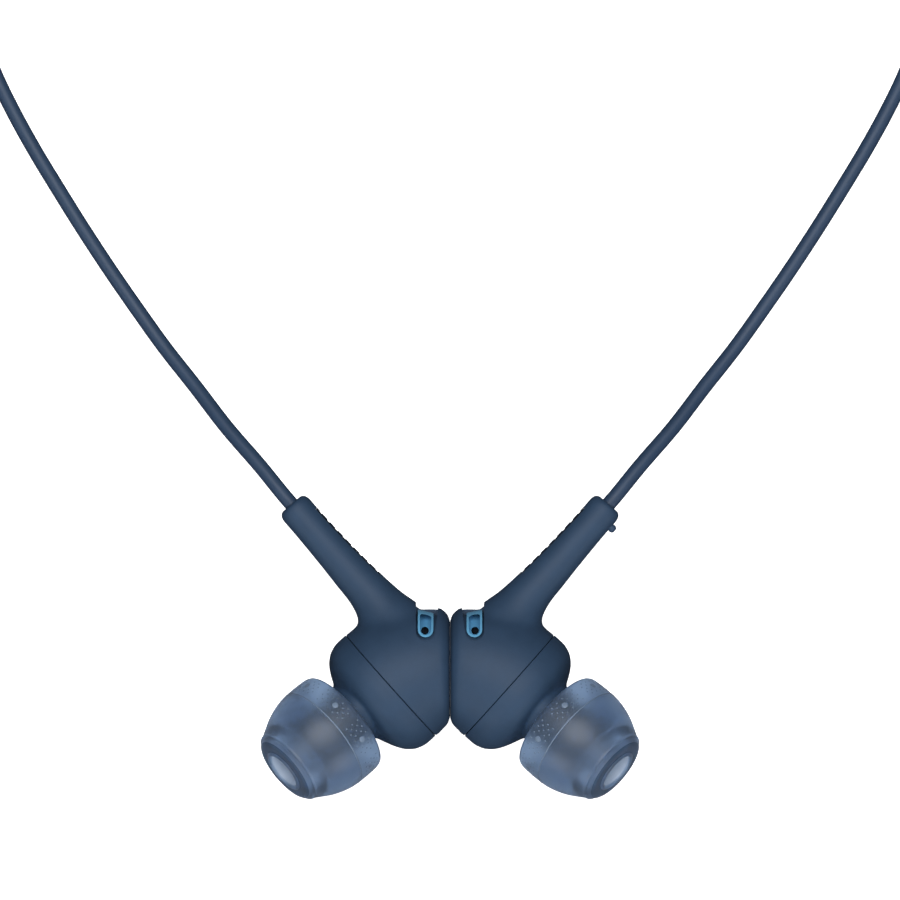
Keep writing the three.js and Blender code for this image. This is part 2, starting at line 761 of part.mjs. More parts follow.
function cables() {
  const lifted = NECK_LEAD.map(([x, y, z], i) => [x, y, z + CROSSING_RISE[i]]);
  const coil = turned([
    [COIL_INNER, 0.9],
    [COIL_INNER + 0.9, 0],
    [COIL_OUTER - 0.9, 0],
    [COIL_OUTER, 0.9],
    [COIL_OUTER, COIL_HEIGHT - 0.9],
    [COIL_OUTER - 0.9, COIL_HEIGHT],
    [COIL_INNER + 0.9, COIL_HEIGHT],
    [COIL_INNER, COIL_HEIGHT - 0.9],
  ], 24);
  return [
    mesh("right_cable", cable(BUD_CABLE, 38), CABLE_BLUE),
    mesh("left_cable", cable(BUD_CABLE.map(mirrored), 38), CABLE_BLUE),
    mesh("neck_cable_right", cable(NECK_LEAD, 14), CABLE_BLUE),
    mesh("neck_cable_left", cable(lifted.map(mirrored), 14), CABLE_BLUE),
    mesh("neck_coil", along(coil, [0, COIL_Y, 0], [0, 0, 1]), CABLE_BLUE),
  ];
}

const leftBud = bud("left", true);
leftBud.scale.x = -1;

const earphones = new THREE.Group();
earphones.add(bud("right", false), leftBud, controlPod(), batteryPod(), ...cables());
export default earphones;
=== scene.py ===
import json
import math

import bmesh
import bpy
from mathutils import Matrix, Vector


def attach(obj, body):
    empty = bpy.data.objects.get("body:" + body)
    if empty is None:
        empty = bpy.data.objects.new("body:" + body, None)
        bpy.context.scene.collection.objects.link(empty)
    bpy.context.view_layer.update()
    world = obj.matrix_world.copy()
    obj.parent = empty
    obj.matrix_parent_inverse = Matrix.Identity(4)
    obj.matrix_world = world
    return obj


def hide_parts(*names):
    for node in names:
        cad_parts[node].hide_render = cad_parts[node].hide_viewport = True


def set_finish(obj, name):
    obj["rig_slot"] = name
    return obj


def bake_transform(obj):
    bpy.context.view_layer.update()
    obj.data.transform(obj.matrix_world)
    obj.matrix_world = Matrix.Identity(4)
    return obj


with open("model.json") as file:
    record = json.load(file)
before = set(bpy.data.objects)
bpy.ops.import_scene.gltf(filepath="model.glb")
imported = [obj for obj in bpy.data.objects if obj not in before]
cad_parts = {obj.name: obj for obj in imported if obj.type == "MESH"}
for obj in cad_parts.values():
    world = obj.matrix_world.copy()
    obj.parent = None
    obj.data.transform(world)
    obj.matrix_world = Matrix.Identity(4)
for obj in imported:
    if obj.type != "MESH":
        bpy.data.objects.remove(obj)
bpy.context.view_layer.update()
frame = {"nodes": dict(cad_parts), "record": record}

MM = 0.001
PAIR_Y = -63.86    # the middle of the two back discs
MID_Z = 8.12    # the buds' mid-plane above the table
POD_X = 46.0
POD_Y = PAIR_Y + 117.0
POD_SPLIT = 4.0    # the pods' parting line, and where their cables enter
CABLE_RADIUS = 0.9
TABLE_REST = CABLE_RADIUS + 0.025    # a cable's axis where it lies on the table
scene = bpy.context.scene

# ---------------------------------------- camera and light
FRAME_WIDTH = 108.4    # mm seen across the picture at the buds' mid-plane
CAMERA_DISTANCE = 1800.0  # mm above the buds' mid-plane
VIEW_Y = PAIR_Y + 26.6    # what the camera looks down on
SENSOR_WIDTH = 36.0

camera_data = bpy.data.cameras.new("camera")
camera_data.sensor_width = SENSOR_WIDTH
camera_data.lens = SENSOR_WIDTH * CAMERA_DISTANCE / FRAME_WIDTH
camera_data.clip_start = 0.01
camera_data.clip_end = 20.0
camera = bpy.data.objects.new("camera", camera_data)
camera.location = (0.0, VIEW_Y * MM, (MID_Z + CAMERA_DISTANCE) * MM)
scene.collection.objects.link(camera)
scene.camera = camera


def area_light(name, where, size, power):
    """A white lamp at a place in metres, turned to the buds."""
    data = bpy.data.lights.new(name, "AREA")
    data.shape = "RECTANGLE"
    data.size, data.size_y = size
    data.energy = power
    lamp = bpy.data.objects.new(name, data)
    lamp.location = where
    look = Vector((0.0, PAIR_Y * MM, MID_Z * MM)) - Vector(where)
    lamp.rotation_euler = look.to_track_quat("-Z", "Y").to_euler()
    scene.collection.objects.link(lamp)


area_light("key_light", (0.0, 0.10, 0.62), (0.55, 0.45), 4.6)
for fill, fill_x in (("fill_left", -0.40), ("fill_right", 0.40)):
    area_light(fill, (fill_x, -0.60, 0.35), (0.4, 0.4), 2.1)

# A soft sky: bright overhead, dim at the horizon and below, so that edges that turn away go dark.
world = bpy.data.worlds.new("studio")
world.use_nodes = True
sky = world.node_tree
sky_place = sky.nodes.new("ShaderNodeTexCoord")
split = sky.nodes.new("ShaderNodeSeparateXYZ")
ramp = sky.nodes.new("ShaderNodeValToRGB")
horizon, overhead = ramp.color_ramp.elements
horizon.position = 0.0
horizon.color = (0.06, 0.061, 0.065, 1.0)
overhead.position = 0.9
overhead.color = (0.30, 0.305, 0.315, 1.0)
sky.links.new(sky_place.outputs["Generated"], split.inputs["Vector"])
sky.links.new(split.outputs["Z"], ramp.inputs["Fac"])
sky.links.new(ramp.outputs["Color"], sky.nodes["Background"].inputs["Color"])
scene.world = world
scene.view_settings.view_transform = "Standard"    # colours stay as the materials give them


# ---------------------------------------- small helpers
def object_from(name, points, faces, smooth_angle=35.0):
    """A mesh object from points in millimetres."""
    mesh = bpy.data.meshes.new(name)
    mesh.from_pydata([tuple(Vector(p) * MM) for p in points], [], faces)
    mesh.validate()
    made = bpy.data.objects.new(name, mesh)
    scene.collection.objects.link(made)
    make_outward(made)
    shade(made, smooth_angle)
    return made


def make_outward(obj):
    """Turns the faces of a closed mesh outward."""
    work = bmesh.new()
    work.from_mesh(obj.data)
    bmesh.ops.recalc_face_normals(work, faces=work.faces)
    if work.calc_volume(signed=True) < 0:
        bmesh.ops.reverse_faces(work, faces=work.faces)
    work.to_mesh(obj.data)
    work.free()


def shade(obj, angle):
    """Smooth shading, with an edge sharper than angle (degrees) kept sharp."""
    obj.data.polygons.foreach_set("use_smooth", [True] * len(obj.data.polygons))
    obj.data.set_sharp_from_angle(angle=math.radians(angle))
    obj.data.update()


def apply_modifiers(obj):
    """Makes the mesh that the modifiers give the object's own."""
    graph = bpy.context.evaluated_depsgraph_get()
    graph.update()
    mesh = bpy.data.meshes.new_from_object(obj.evaluated_get(graph))
    old = obj.data
    obj.modifiers.clear()
    obj.data = mesh
    bpy.data.meshes.remove(old)


def remove(obj):
    """Deletes an object, and its mesh if nothing else uses it."""
    mesh = obj.data
    bpy.data.objects.remove(obj)
    if mesh.users == 0:
        bpy.data.meshes.remove(mesh)


def cut_away(obj, *cutters, operation="DIFFERENCE"):
    """Booleans, in order. The cutters are used up."""
    for cutter in cutters:
        step = obj.modifiers.new("cut", "BOOLEAN")
        step.operation = operation
        step.solver = "EXACT"
        step.object = cutter
        apply_modifiers(obj)
        remove(cutter)
    return obj


def combine(name, *parts):
    """One object that holds the meshes of several, which are used up."""
    work = bmesh.new()
    for part in parts:
        work.from_mesh(part.data)
        remove(part)
    mesh = bpy.data.meshes.new(name)
    work.to_mesh(mesh)
    work.free()
    made = bpy.data.objects.new(name, mesh)
    scene.collection.objects.link(made)
    return made


FUSE_VOXEL = 0.17    # mm


def fuse(obj, smoothing):
    """Melts overlapping closed meshes into one skin and smooths it."""
    step = obj.modifiers.new("fuse", "REMESH")
    step.mode = "VOXEL"
    step.voxel_size = FUSE_VOXEL * MM
    step = obj.modifiers.new("smooth", "SMOOTH")
    step.factor = 0.5
    step.iterations = smoothing
    apply_modifiers(obj)


def melt_crease(obj, centre, radius, iterations):
    """Smooths an area only: full strength at centre (mm), none beyond radius (mm)."""
    group = obj.vertex_groups.new(name="melt")
    middle = Vector(centre) * MM
    for vertex in obj.data.vertices:
        away = (vertex.co - middle).length / (radius * MM)
        if away < 1.0:
            group.add([vertex.index], (1.0 - away * away) ** 1.5, "REPLACE")
    step = obj.modifiers.new("melt", "SMOOTH")
    step.factor = 0.5
    step.iterations = iterations
    step.vertex_group = "melt"
    apply_modifiers(obj)
    obj.vertex_groups.clear()


def keep_side(obj, point, normal):
    """Keeps the half space that normal points into, with a flat cap."""
    work = bmesh.new()
    work.from_mesh(obj.data)
    bmesh.ops.bisect_plane(
        work,
        geom=work.verts[:] + work.edges[:] + work.faces[:],
        plane_co=Vector(point) * MM,
        plane_no=Vector(normal),
        clear_inner=True,
    )
    bmesh.ops.holes_fill(work, edges=[e for e in work.edges if e.is_boundary], sides=0)
    work.to_mesh(obj.data)
    work.free()
    make_outward(obj)


def loft_points(rings):
    """Points and faces of a capped skin over rings with one number of points each."""
    count = len(rings[0])
    points = [p for ring in rings for p in ring]
    faces = []
    for r in range(len(rings) - 1):
        for i in range(count):
            a = r * count + i
            b = r * count + (i + 1) % count
            faces.append((a, b, b + count, a + count))
    faces.append(tuple(reversed(range(count))))
    last = (len(rings) - 1) * count
    faces.append(tuple(range(last, last + count)))
    return points, faces


def basis_for(axis):
    """An axis at unit length, and two unit vectors square to it."""
    axis = Vector(axis).normalized()
    side = Vector((0, 0, 1)) if abs(axis.z) < 0.9 else Vector((1, 0, 0))
    first = side.cross(axis).normalized()
    return axis, first, axis.cross(first)


def lathe(name, profile, origin, axis, segments, smooth_angle=35.0):
    """A turned piece: profile is (radius, height) from axis to axis, or a closed loop."""
    axis, first, second = basis_for(axis)
    origin = Vector(origin)
    loop = profile[0][0] > 0 and profile[-1][0] > 0
    points, rows = [], []
    for radius, height in profile:
        base = origin + axis * height
        if radius == 0:
            rows.append([len(points)])
            points.append(base)
            continue
        rows.append(list(range(len(points), len(points) + segments)))
        for i in range(segments):
            angle = 2 * math.pi * i / segments
            points.append(base + radius * (math.cos(angle) * first + math.sin(angle) * second))
    faces = []
    count = len(rows)
    for r in range(count if loop else count - 1):
        low, high = rows[r], rows[(r + 1) % count]
        for i in range(segments):
            j = (i + 1) % segments
            if len(low) == 1:
                faces.append((low[0], high[j], high[i]))
            elif len(high) == 1:
                faces.append((low[i], low[j], high[0]))
            else:
                faces.append((low[i], low[j], high[j], high[i]))
    return object_from(name, points, faces, smooth_angle)


def cylinder(name, radius, low, high, origin, axis, segments):
    return lathe(name, [(0, low), (radius, low), (radius, high), (0, high)], origin, axis,
                 segments)


def rounded(points, steps):
    """A smooth line through points, by Catmull-Rom, with steps pieces for each span."""
    tension = 0.5
    out = []
    last = len(points) - 1
    for i in range(last):
        p0, p1 = points[max(i - 1, 0)], points[i]
        p2, p3 = points[i + 1], points[min(i + 2, last)]
        for s in range(steps):
            t = s / steps
            out.append([
                p1[k] + tension * t * (p2[k] - p0[k])
                + t * t * (tension * (2 * p0[k] - 5 * p1[k] + 4 * p2[k] - p3[k]))
                + t * t * t * (tension * (3 * p1[k] - p0[k] - 3 * p2[k] + p3[k]))
                for k in range(len(p1))
            ])
    out.append(list(points[-1]))
    return out


def mark_faces(obj, slots, index_for):
    """Adds empty material slots and gives each face the slot that index_for names."""
    for _ in range(slots):
        obj.data.materials.append(None)
    for face in obj.data.polygons:
        face.material_index = index_for(face)


def mirrored_copy(obj, name):
    """The same mesh mirrored across X = 0."""
    mesh = obj.data.copy()
    mesh.transform(Matrix.Diagonal((-1, 1, 1, 1)))
    mesh.flip_normals()
    mesh.name = name
    made = bpy.data.objects.new(name, mesh)
    scene.collection.objects.link(made)
    return made


# ---------------------------------------- where the bud's pieces are
# Plan coordinates of the right bud: x, y from the middle of its back disc, z from its mid-plane.
SEAM_RADIUS = 8.1
SEAM_TILT = math.radians(41.8)
SEAM_CENTRE = (-7.14, -1.75)
SEAM_BACK = Vector((math.cos(SEAM_TILT), math.sin(SEAM_TILT), 0))
SEAM_SIDE = Vector((-math.sin(SEAM_TILT), math.cos(SEAM_TILT), 0))
STEM_END = (-19.1, 20.1)
STEM_DIRECTION = Vector((0.656, -0.755, 0))
STEM_SIDE = Vector((0.755, 0.656, 0))
NOZZLE_ROOT = (-9.1, -3.0)
NOZZLE_FALL = math.radians(39.5)
NOZZLE_RISE = math.radians(20.0)
NOZZLE_AXIS = Vector((
    -math.cos(NOZZLE_RISE) * math.cos(NOZZLE_FALL),
    -math.cos(NOZZLE_RISE) * math.sin(NOZZLE_FALL),
    math.sin(NOZZLE_RISE),
))
TIP_START = 5.2    # the tip's rear rim, along the nozzle


def place(x, y, z=0.0):
    """A point of the bud's plan, in the part's frame."""
    return Vector((x, y + PAIR_Y, z + MID_Z))


def in_stem(distance, shift=0.0, z=0.0):
    """A point at a distance from the stem's cable end, shifted to its inner side."""
    x, y = STEM_END
    spot = Vector((x, y, z)) + STEM_DIRECTION * distance + STEM_SIDE * shift
    return place(*spot)


def behind_seam(back, up=0.0, z=0.0):
    """A point behind the plane of the parting line, and up along that plane."""
    spot = Vector((*SEAM_CENTRE, z)) + SEAM_BACK * back + SEAM_SIDE * up
    return place(*spot)


DRIVER_ORIGIN = behind_seam(0)
NOZZLE_ORIGIN = place(*NOZZLE_ROOT)

# ---------------------------------------- cables: routes, then tubes
# The right bud's cable, and the neck cable's run from the battery pod: (x, y from PAIR_Y, z).
BUD_ROUTE = [
    (-23.0, 24.8, 7.1), (-27.0, 29.4, 5.2), (-30.7, 34.2, 3.2), (-34.5, 39.0, 1.7),
    (-37.95, 43.8, 1.0), (-41.2, 48.5, TABLE_REST), (-44.35, 53.3, TABLE_REST),
    (-47.35, 58.1, TABLE_REST), (-50.2, 62.8, TABLE_REST), (-52.85, 67.6, TABLE_REST),
    (-55.15, 72.4, TABLE_REST), (-57.0, 77.6, TABLE_REST), (-58.05, 84.0, TABLE_REST),
    (-58.2, 92.0, TABLE_REST), (-58.2, 104.0, TABLE_REST), (-58.2, 118.0, TABLE_REST),
    (-58.2, 130.0, TABLE_REST), (-58.2, 140.0, TABLE_REST), (-58.2, 144.4, TABLE_REST),
    (-57.4, 147.5, 1.1), (-55.2, 149.7, 1.5), (-52.1, 150.5, 2.1), (-49.0, 149.7, 2.8),
    (-46.8, 147.5, 3.4), (-46.0, 145.0, 3.9), (-46.0, 143.3, POD_SPLIT),
]
NECK_LEAD = [
    (-46.0, 90.7, POD_SPLIT), (-46.0, 89.3, 3.9), (-45.2, 86.6, 3.1), (-42.6, 84.2, 1.8),
    (-38.5, 83.2, 1.0), (-32.0, 83.0, TABLE_REST), (-24.0, 83.5, TABLE_REST),
    (-16.5, 85.8, TABLE_REST), (-9.8, 89.9, TABLE_REST), (-4.4, 94.6, TABLE_REST),
    (0.0, 98.9, TABLE_REST), (2.9, 101.8, TABLE_REST),
]
# How much higher the run to the control pod is than the other at each point of NECK_LEAD.
CROSSING_RISE = (0, 0, 0, 0, 0, 0, 0, 0.2, 1.0, 1.8, 1.85, 1.85)
COIL_Y = 115.0
COIL_OUTER, COIL_INNER = 11.45, 9.55    # radii of its two columns of turns
COIL_LOW, COIL_HIGH = TABLE_REST, 2.75  # heights of its two layers
COIL_START, COIL_END = -60.0, 1320.0    # degrees
COIL_STEPS = 92
COIL_SHIFT = 90.0    # degrees that each change of column or layer takes
GOES_IN, GOES_UP, GOES_OUT = 205, 565, 925    # where the changes start


def ease(t):
    """0 to 1, with a soft start and end."""
    t = min(max(t, 0.0), 1.0)
    return t * t * (3 - 2 * t)


def coil_route():
    """Four turns: out below, in below, in above, out above."""
    route = []
    for i in range(COIL_STEPS + 1):
        degrees = COIL_START + (COIL_END - COIL_START) * i / COIL_STEPS
        inward = ease((degrees - GOES_IN) / COIL_SHIFT) - ease((degrees - GOES_OUT) / COIL_SHIFT)
        upward = ease((degrees - GOES_UP) / COIL_SHIFT)
        radius = COIL_OUTER + (COIL_INNER - COIL_OUTER) * inward
        height = COIL_LOW + (COIL_HIGH - COIL_LOW) * upward
        angle = math.radians(degrees)
        route.append((radius * math.cos(angle), COIL_Y + radius * math.sin(angle), height))
    return route


def from_pair(points):
    """Points given as (x, y from PAIR_Y, z), in the part's frame."""
    return [Vector((x, y + PAIR_Y, z)) for x, y, z in points]


def smooth_line(points, spacing):
    """Even points, about spacing apart, on a smooth curve through points, and its length."""
    fine = [Vector(p) for p in rounded(points, 16)]
    lengths = [0.0]
    for a, b in zip(fine, fine[1:]):
        lengths.append(lengths[-1] + (b - a).length)
    count = max(2, round(lengths[-1] / spacing))
    out, at = [], 0
    for i in range(count + 1):
        wanted = lengths[-1] * i / count
        while at < len(fine) - 2 and lengths[at + 1] < wanted:
            at += 1
        span = max(lengths[at + 1] - lengths[at], 1e-9)
        out.append(fine[at].lerp(fine[at + 1], (wanted - lengths[at]) / span))
    return out, lengths[-1]


def tube(name, line, radius):
    """A round tube with flat ends along a line, without twist."""
    sides = 20
    rings = []
    previous = None
    last = len(line) - 1
    for i, spot in enumerate(line):
        tangent = (line[min(i + 1, last)] - line[max(i - 1, 0)]).normalized()
        if previous is None:
            _, first, second = basis_for(tangent)
        else:
            first = (previous - tangent * previous.dot(tangent)).normalized()
            second = tangent.cross(first)
        previous = first
        rings.append([
            spot + radius * (math.cos(2 * math.pi * k / sides) * first
                             + math.sin(2 * math.pi * k / sides) * second)
            for k in range(sides)
        ])
    points, faces = loft_points(rings)
    return object_from(name, points, faces, 60.0)


def cable(name, route, replaced):
    """A round cable along a route in mm, from where it comes out."""
    line, length = smooth_line(route, 0.7)
    made = tube(name, line, CABLE_RADIUS)
    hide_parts(*replaced)
    return made


right_route = [in_stem(1), in_stem(-1.6)] + from_pair(BUD_ROUTE)
left_route = [Vector((-p.x, p.y, p.z)) for p in right_route]
right_cable = cable("right_bud_cable", right_route, ["right_cable"])
left_cable = cable("left_bud_cable", left_route, ["left_cable"])

risen = [(-x, y, z + rise) for (x, y, z), rise in zip(NECK_LEAD, CROSSING_RISE)]
neck_route = from_pair(NECK_LEAD + coil_route() + risen[::-1])
neck_cable = cable("neck_cable", neck_route,
                   ["neck_cable_right", "neck_cable_left", "neck_coil"])
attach(neck_cable, "neckband")
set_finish(neck_cable, "cable_blue")
for bent, body, sign in ((right_cable, "right_bud", -1), (left_cable, "left_bud", 1)):
    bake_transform(bent)
    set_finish(bent, "cable_blue")

# ---------------------------------------- rear shell with its stem
# (bottom, top, half depth) of sections across the plan, from in front of the parting line.
HOUSING_SECTIONS = [
    (behind_seam(-1.6, -8.05), behind_seam(-1.6, 8.05), 8.05),
    (behind_seam(0.0, -8.12), behind_seam(0.0, 8.12), 8.1),
    (place(-1.3, -7.5), place(-10.6, 5.75), 8.05),
    (place(-1.1, -7.25), place(-7.8, 6.85), 7.95),
    (place(-0.9, -7.05), place(-4.4, 7.5), 7.75),
    (place(-0.7, -6.85), place(-1.5, 7.6), 7.4),
    (place(-0.48, -6.62), place(-0.7, 7.2), 7.05),
    (place(-0.24, -6.3), place(-0.27, 6.75), 6.62),
    (place(0.0, -5.6), place(0.0, 5.95), 5.8),
]
# (distance from the cable end, shift to the inner side, half width, half depth)
STEM_SECTIONS = [
    (0.0, 0.0, 1.45, 1.5), (0.12, 0.0, 1.75, 1.8), (0.45, 0.0, 1.98, 2.03),
    (1.0, 0.0, 2.08, 2.13), (2.2, 0.0, 2.07, 2.12), (4.6, 0.0, 2.1, 2.15),
    (8.5, 0.02, 2.24, 2.32), (11.8, 0.05, 2.44, 2.52), (13.5, 0.08, 2.58, 2.7),
    (15.2, 0.0, 2.86, 3.0), (17.0, -0.25, 3.4, 3.5), (18.9, -0.5, 4.12, 4.35),
    (21.1, -0.9, 4.6, 5.0),
]
BACK_CLEARANCE = 0.002    # of a back disc to the plane between the buds
SEAM_CLEARANCE = 0.015    # of each shell to the plane of the parting line
FIT = 0.012    # around a piece that is pressed into another
GRIP_START, GRIP_END, GRIP_HALF = 2.4, 13.5, 0.98
DUCT_LEFT, DUCT_RIGHT, DUCT_BOTTOM = -4.09, -1.8, 3.72    # the recess in the shell
DUCT_FLARE = 0.55    # it is wider at its top
DUCT_LEDGE = 6.75    # its floor, from the X axis
FRAME_LEFT, FRAME_RIGHT, FRAME_BOTTOM = -3.86, -2.0, 4.12    # the insert in it
UPWARD = Vector((0, 0, 1))


def ellipse(centre, side, half_side, half_height, count, up=UPWARD):
    return [
        centre + side * (half_side * math.cos(2 * math.pi * i / count))
        + up * (half_height * math.sin(2 * math.pi * i / count))
        for i in range(count)
    ]


def housing_ring(low, high, half_height, count):
    """An upright ellipse between two points of the plan."""
    side = (high - low).normalized()
    return ellipse((low + high) / 2, side, (high - low).length / 2, half_height, count)


def stem_loft(name, count):
    """The stem, with count points round it."""
    sections = rounded(STEM_SECTIONS[3:], 3)
    rings = [
        ellipse(in_stem(d, shift), STEM_SIDE, width, depth, count)
        for d, shift, width, depth in [*STEM_SECTIONS[:3], *sections]
    ]
    return object_from(name, *loft_points(rings))


def seam_groove():
    """A shallow V all round the parting line."""
    return lathe("groove", [(7.94, 0), (8.5, -0.26), (8.5, 0.26)], DRIVER_ORIGIN, -SEAM_BACK, 144)


def smooth_rings(sections, steps):
    """Rings on Catmull-Rom curves through (low, high, half depth) sections."""
    flat = [[low.x, low.y, high.x, high.y, half] for low, high, half in sections]
    return [
        housing_ring(Vector((a, b, MID_Z)), Vector((c, d, MID_Z)), half, 72)
        for a, b, c, d, half in rounded(flat, steps)
    ]


def rear_shell():
    """The hollow housing and its stem, open for the cable, the duct insert and the grip."""
    housing = object_from("housing", *loft_points(smooth_rings(HOUSING_SECTIONS, 5)))
    shell = combine("right_rear_housing", housing, stem_loft("stem", 64))
    fuse(shell, 10)
    melt_crease(shell, place(-11.2, 6.0), 5.2, 160)   # the hollow below the stem
    melt_crease(shell, place(-6.0, 8.3), 3.6, 60)     # the shoulder above the duct
    for z in (-5.2, 5.2):
        melt_crease(shell, place(-8.0, 6.0, z), 5.4, 220)   # the stem's flanks
    cut_away(shell, seam_groove())
    keep_side(shell, behind_seam(SEAM_CLEARANCE), SEAM_BACK)
    keep_side(shell, place(-BACK_CLEARANCE, 0), Vector((-1, 0, 0)))
    cavity_radius = SEAM_RADIUS - 1.15
    cavity = object_from("cavity", *loft_points([
        housing_ring(low, high, depth, 48)
        for low, high, depth in (
            (behind_seam(-0.5, -cavity_radius), behind_seam(-0.5, cavity_radius), cavity_radius),
            (behind_seam(0.8, -cavity_radius), behind_seam(0.8, cavity_radius), cavity_radius),
            (place(-1.9, -6.0), place(-9.2, 4.9), 6.7),
            (place(-1.7, -5.6), place(-5.5, 6.0), 6.5),
            (place(-1.35, -5.1), place(-1.35, 5.9), 6.0),
        )
    ]))
    bore = cylinder("bore", 1.2, -2, 19, in_stem(0), STEM_DIRECTION, 40)
    outline = duct_outline(DUCT_LEFT, DUCT_RIGHT, DUCT_BOTTOM)
    outline[-1] = (DUCT_RIGHT + DUCT_FLARE, outline[-1][1])
    ledge = prism("ledge", outline, -1.8, 10.0)
    cut_away(ledge, cylinder("ledge_floor", DUCT_LEDGE, -6, 1, place(0, 0), (1, 0, 0), 128))
    slot_outline = duct_outline(FRAME_LEFT - FIT, FRAME_RIGHT + FIT, FRAME_BOTTOM - FIT)
    slot = prism("slot", slot_outline, -1.8, 10.0)
    recess = stem_block("recess", GRIP_START, GRIP_END, 1.45, 5.0, GRIP_HALF + FIT)
    cut_away(shell, cavity, bore, ledge, slot, recess)
    make_outward(shell)
    shade(shell, 32.0)
    return shell


def duct_outline(left, right, bottom, top=9.0):
    """A U, open at its top, as plan points anticlockwise."""
    steps = 24
    radius = (right - left) / 2
    arc = [
        (left + radius + radius * math.cos(a), bottom + radius + radius * math.sin(a))
        for a in (math.pi + math.pi * i / steps for i in range(steps + 1))
    ]
    return [(left, top), *arc, (right, top)]


def prism(name, outline, low, high):
    """A plan outline made solid between two heights of the bud."""
    count = len(outline)
    points = [place(x, y, low) for x, y in outline] + [place(x, y, high) for x, y in outline]
    faces = [tuple(reversed(range(count))), tuple(range(count, 2 * count))]
    faces += [(i, (i + 1) % count, (i + 1) % count + count, i + count) for i in range(count)]
    return object_from(name, points, faces)


def stem_block(name, start, end, low, high, half_depth):
    """A block on the stem's inner side, between two distances from its cable end."""
    points = [
        in_stem(d, shift, z)
        for z in (-half_depth, half_depth)
        for d, shift in ((start, low), (end, low), (end, high), (start, high))
    ]
    faces = [(0, 1, 2, 3), (7, 6, 5, 4), (0, 4, 5, 1), (1, 5, 6, 2), (2, 6, 7, 3), (3, 7, 4, 0)]
    return object_from(name, points, faces)


# ---------------------------------------- the bud's other pieces
def front_shell():
    """The domed front with the nozzle's boss and the nozzle, hollow and drilled through."""
    dome = lathe("dome", [
        (0, -1.5), (8.05, -1.5), *rounded([
            [8.1, -0.4], [8.13, 0.5], [8.1, 1.6], [7.88, 2.4], [7.6, 3.0], [6.85, 3.85],
            [5.85, 4.5], [4.7, 5.05], [3.6, 5.5],
        ], 4), (0, 5.8),
    ], DRIVER_ORIGIN, -SEAM_BACK, 112)
    _, across, above = basis_for(NOZZLE_AXIS)
    boss = object_from("boss", *loft_points([
        ellipse(NOZZLE_ORIGIN + NOZZLE_AXIS * h, across, wide, tall, 72, above)
        for h, wide, tall in ((0.6, 4.4, 5.9), (3.6, 3.9, 5.6), (4.9, 3.75, 5.4), (5.5, 3.6, 5.2),
                              (5.8, 3.2, 4.7))
    ]))
    nozzle = lathe("nozzle", [
        (0, 0.6), (2.62, 0.6), (2.62, 10.7), (2.85, 11.0), (2.85, 11.6), (2.55, 12.0), (0, 12.05),
    ], NOZZLE_ORIGIN, NOZZLE_AXIS, 96)
    shell = combine("right_front_housing", dome, boss, nozzle)
    fuse(shell, 6)
    melt_crease(shell, place(-11.9, -5.3), 8.5, 16)
    cut_away(shell, seam_groove())
    keep_side(shell, behind_seam(-SEAM_CLEARANCE), -SEAM_BACK)
    inner = lathe("inner", [
        (0, -1), (6.55, -1), (6.4, 1.6), (5.7, 2.7), (4.0, 3.4), (0, 3.6),
    ], DRIVER_ORIGIN, -SEAM_BACK, 96)
    bore = cylinder("bore", 1.9, -1, 13, NOZZLE_ORIGIN, NOZZLE_AXIS, 64)
    seat = cylinder("seat", 2.2, 11.35, 13, NOZZLE_ORIGIN, NOZZLE_AXIS, 64)
    cut_away(shell, inner, bore, seat)
    make_outward(shell)
    shade(shell, 32.0)
    return shell


# The tip's turned profile, as [radius, height from its rear rim].
TIP_SEGMENTS = 128
TIP_OUTSIDE = [
    [6.6, 0.0], [6.72, 0.25], [6.8, 0.8], [6.84, 1.8], [6.84, 2.9], [6.76, 4.1],
    [6.5, 5.3], [6.08, 6.5], [5.52, 7.6], [5.02, 8.5], [4.84, 8.84],
]
TIP_FRONT = [
    [4.84, 8.96], [4.78, 9.1], [4.62, 9.16], [4.48, 9.28], [4.3, 9.52], [4.0, 9.7],
    [3.6, 9.78], [3.1, 9.78], [2.82, 9.84], [2.62, 9.98], [2.45, 10.02], [2.28, 9.9], [2.2, 9.6],
]
# The rings of the front annulus, which take painted shade.
TIP_SHADE_FRONT_RINGS = range(13, 24)    # of the rings that TIP_FRONT makes
TIP_BORE = [[2.1, 9.2], [2.05, 8.6], [2.05, 7.5], [2.3, 7.25], [2.98, 7.2], [2.98, 1.6]]
TIP_CORE = [[3.1, 1.45], [3.6, 1.5], [3.75, 1.8], [3.85, 4.0], [4.0, 6.0], [4.35, 6.9]]
TIP_INSIDE = [
    [4.8, 7.1], [5.25, 6.8], [5.78, 5.95], [6.12, 4.9], [6.34, 3.8], [6.42, 2.7], [6.4, 1.7],
    [6.36, 0.8], [6.32, 0.25], [6.45, 0.0],
]


def ear_tip():
    """A mushroom of soft silicone: painted light on the faces in its bore, painted shade on its
    front ring and core.
    """
    dome = rounded(TIP_OUTSIDE, 3)
    outside = dome + rounded(TIP_FRONT, 3)
    bore = rounded(TIP_BORE, 2)
    core = rounded(TIP_CORE, 2)
    whole = outside + bore + core + rounded(TIP_INSIDE, 3)
    profile = [(r, h + TIP_START) for r, h in whole]
    tip = lathe("right_silicone_tip", profile, NOZZLE_ORIGIN, NOZZLE_AXIS, TIP_SEGMENTS, 50.0)
    core_start = len(outside) + len(bore)
    painted_light_rings = range(len(outside) - 2, core_start - 1)
    painted_shade_rings = [*(len(dome) + ring for ring in TIP_SHADE_FRONT_RINGS),
                  *range(core_start, core_start + len(core) - 1)]

    # Faces of the bore take painted light; faces of the front ring and core take painted shade.
    def slot_of(face):
        ring = face.index // TIP_SEGMENTS
        if ring in painted_light_rings:
            return 1
        return 2 if ring in painted_shade_rings else 0

    mark_faces(tip, 3, slot_of)
    return tip


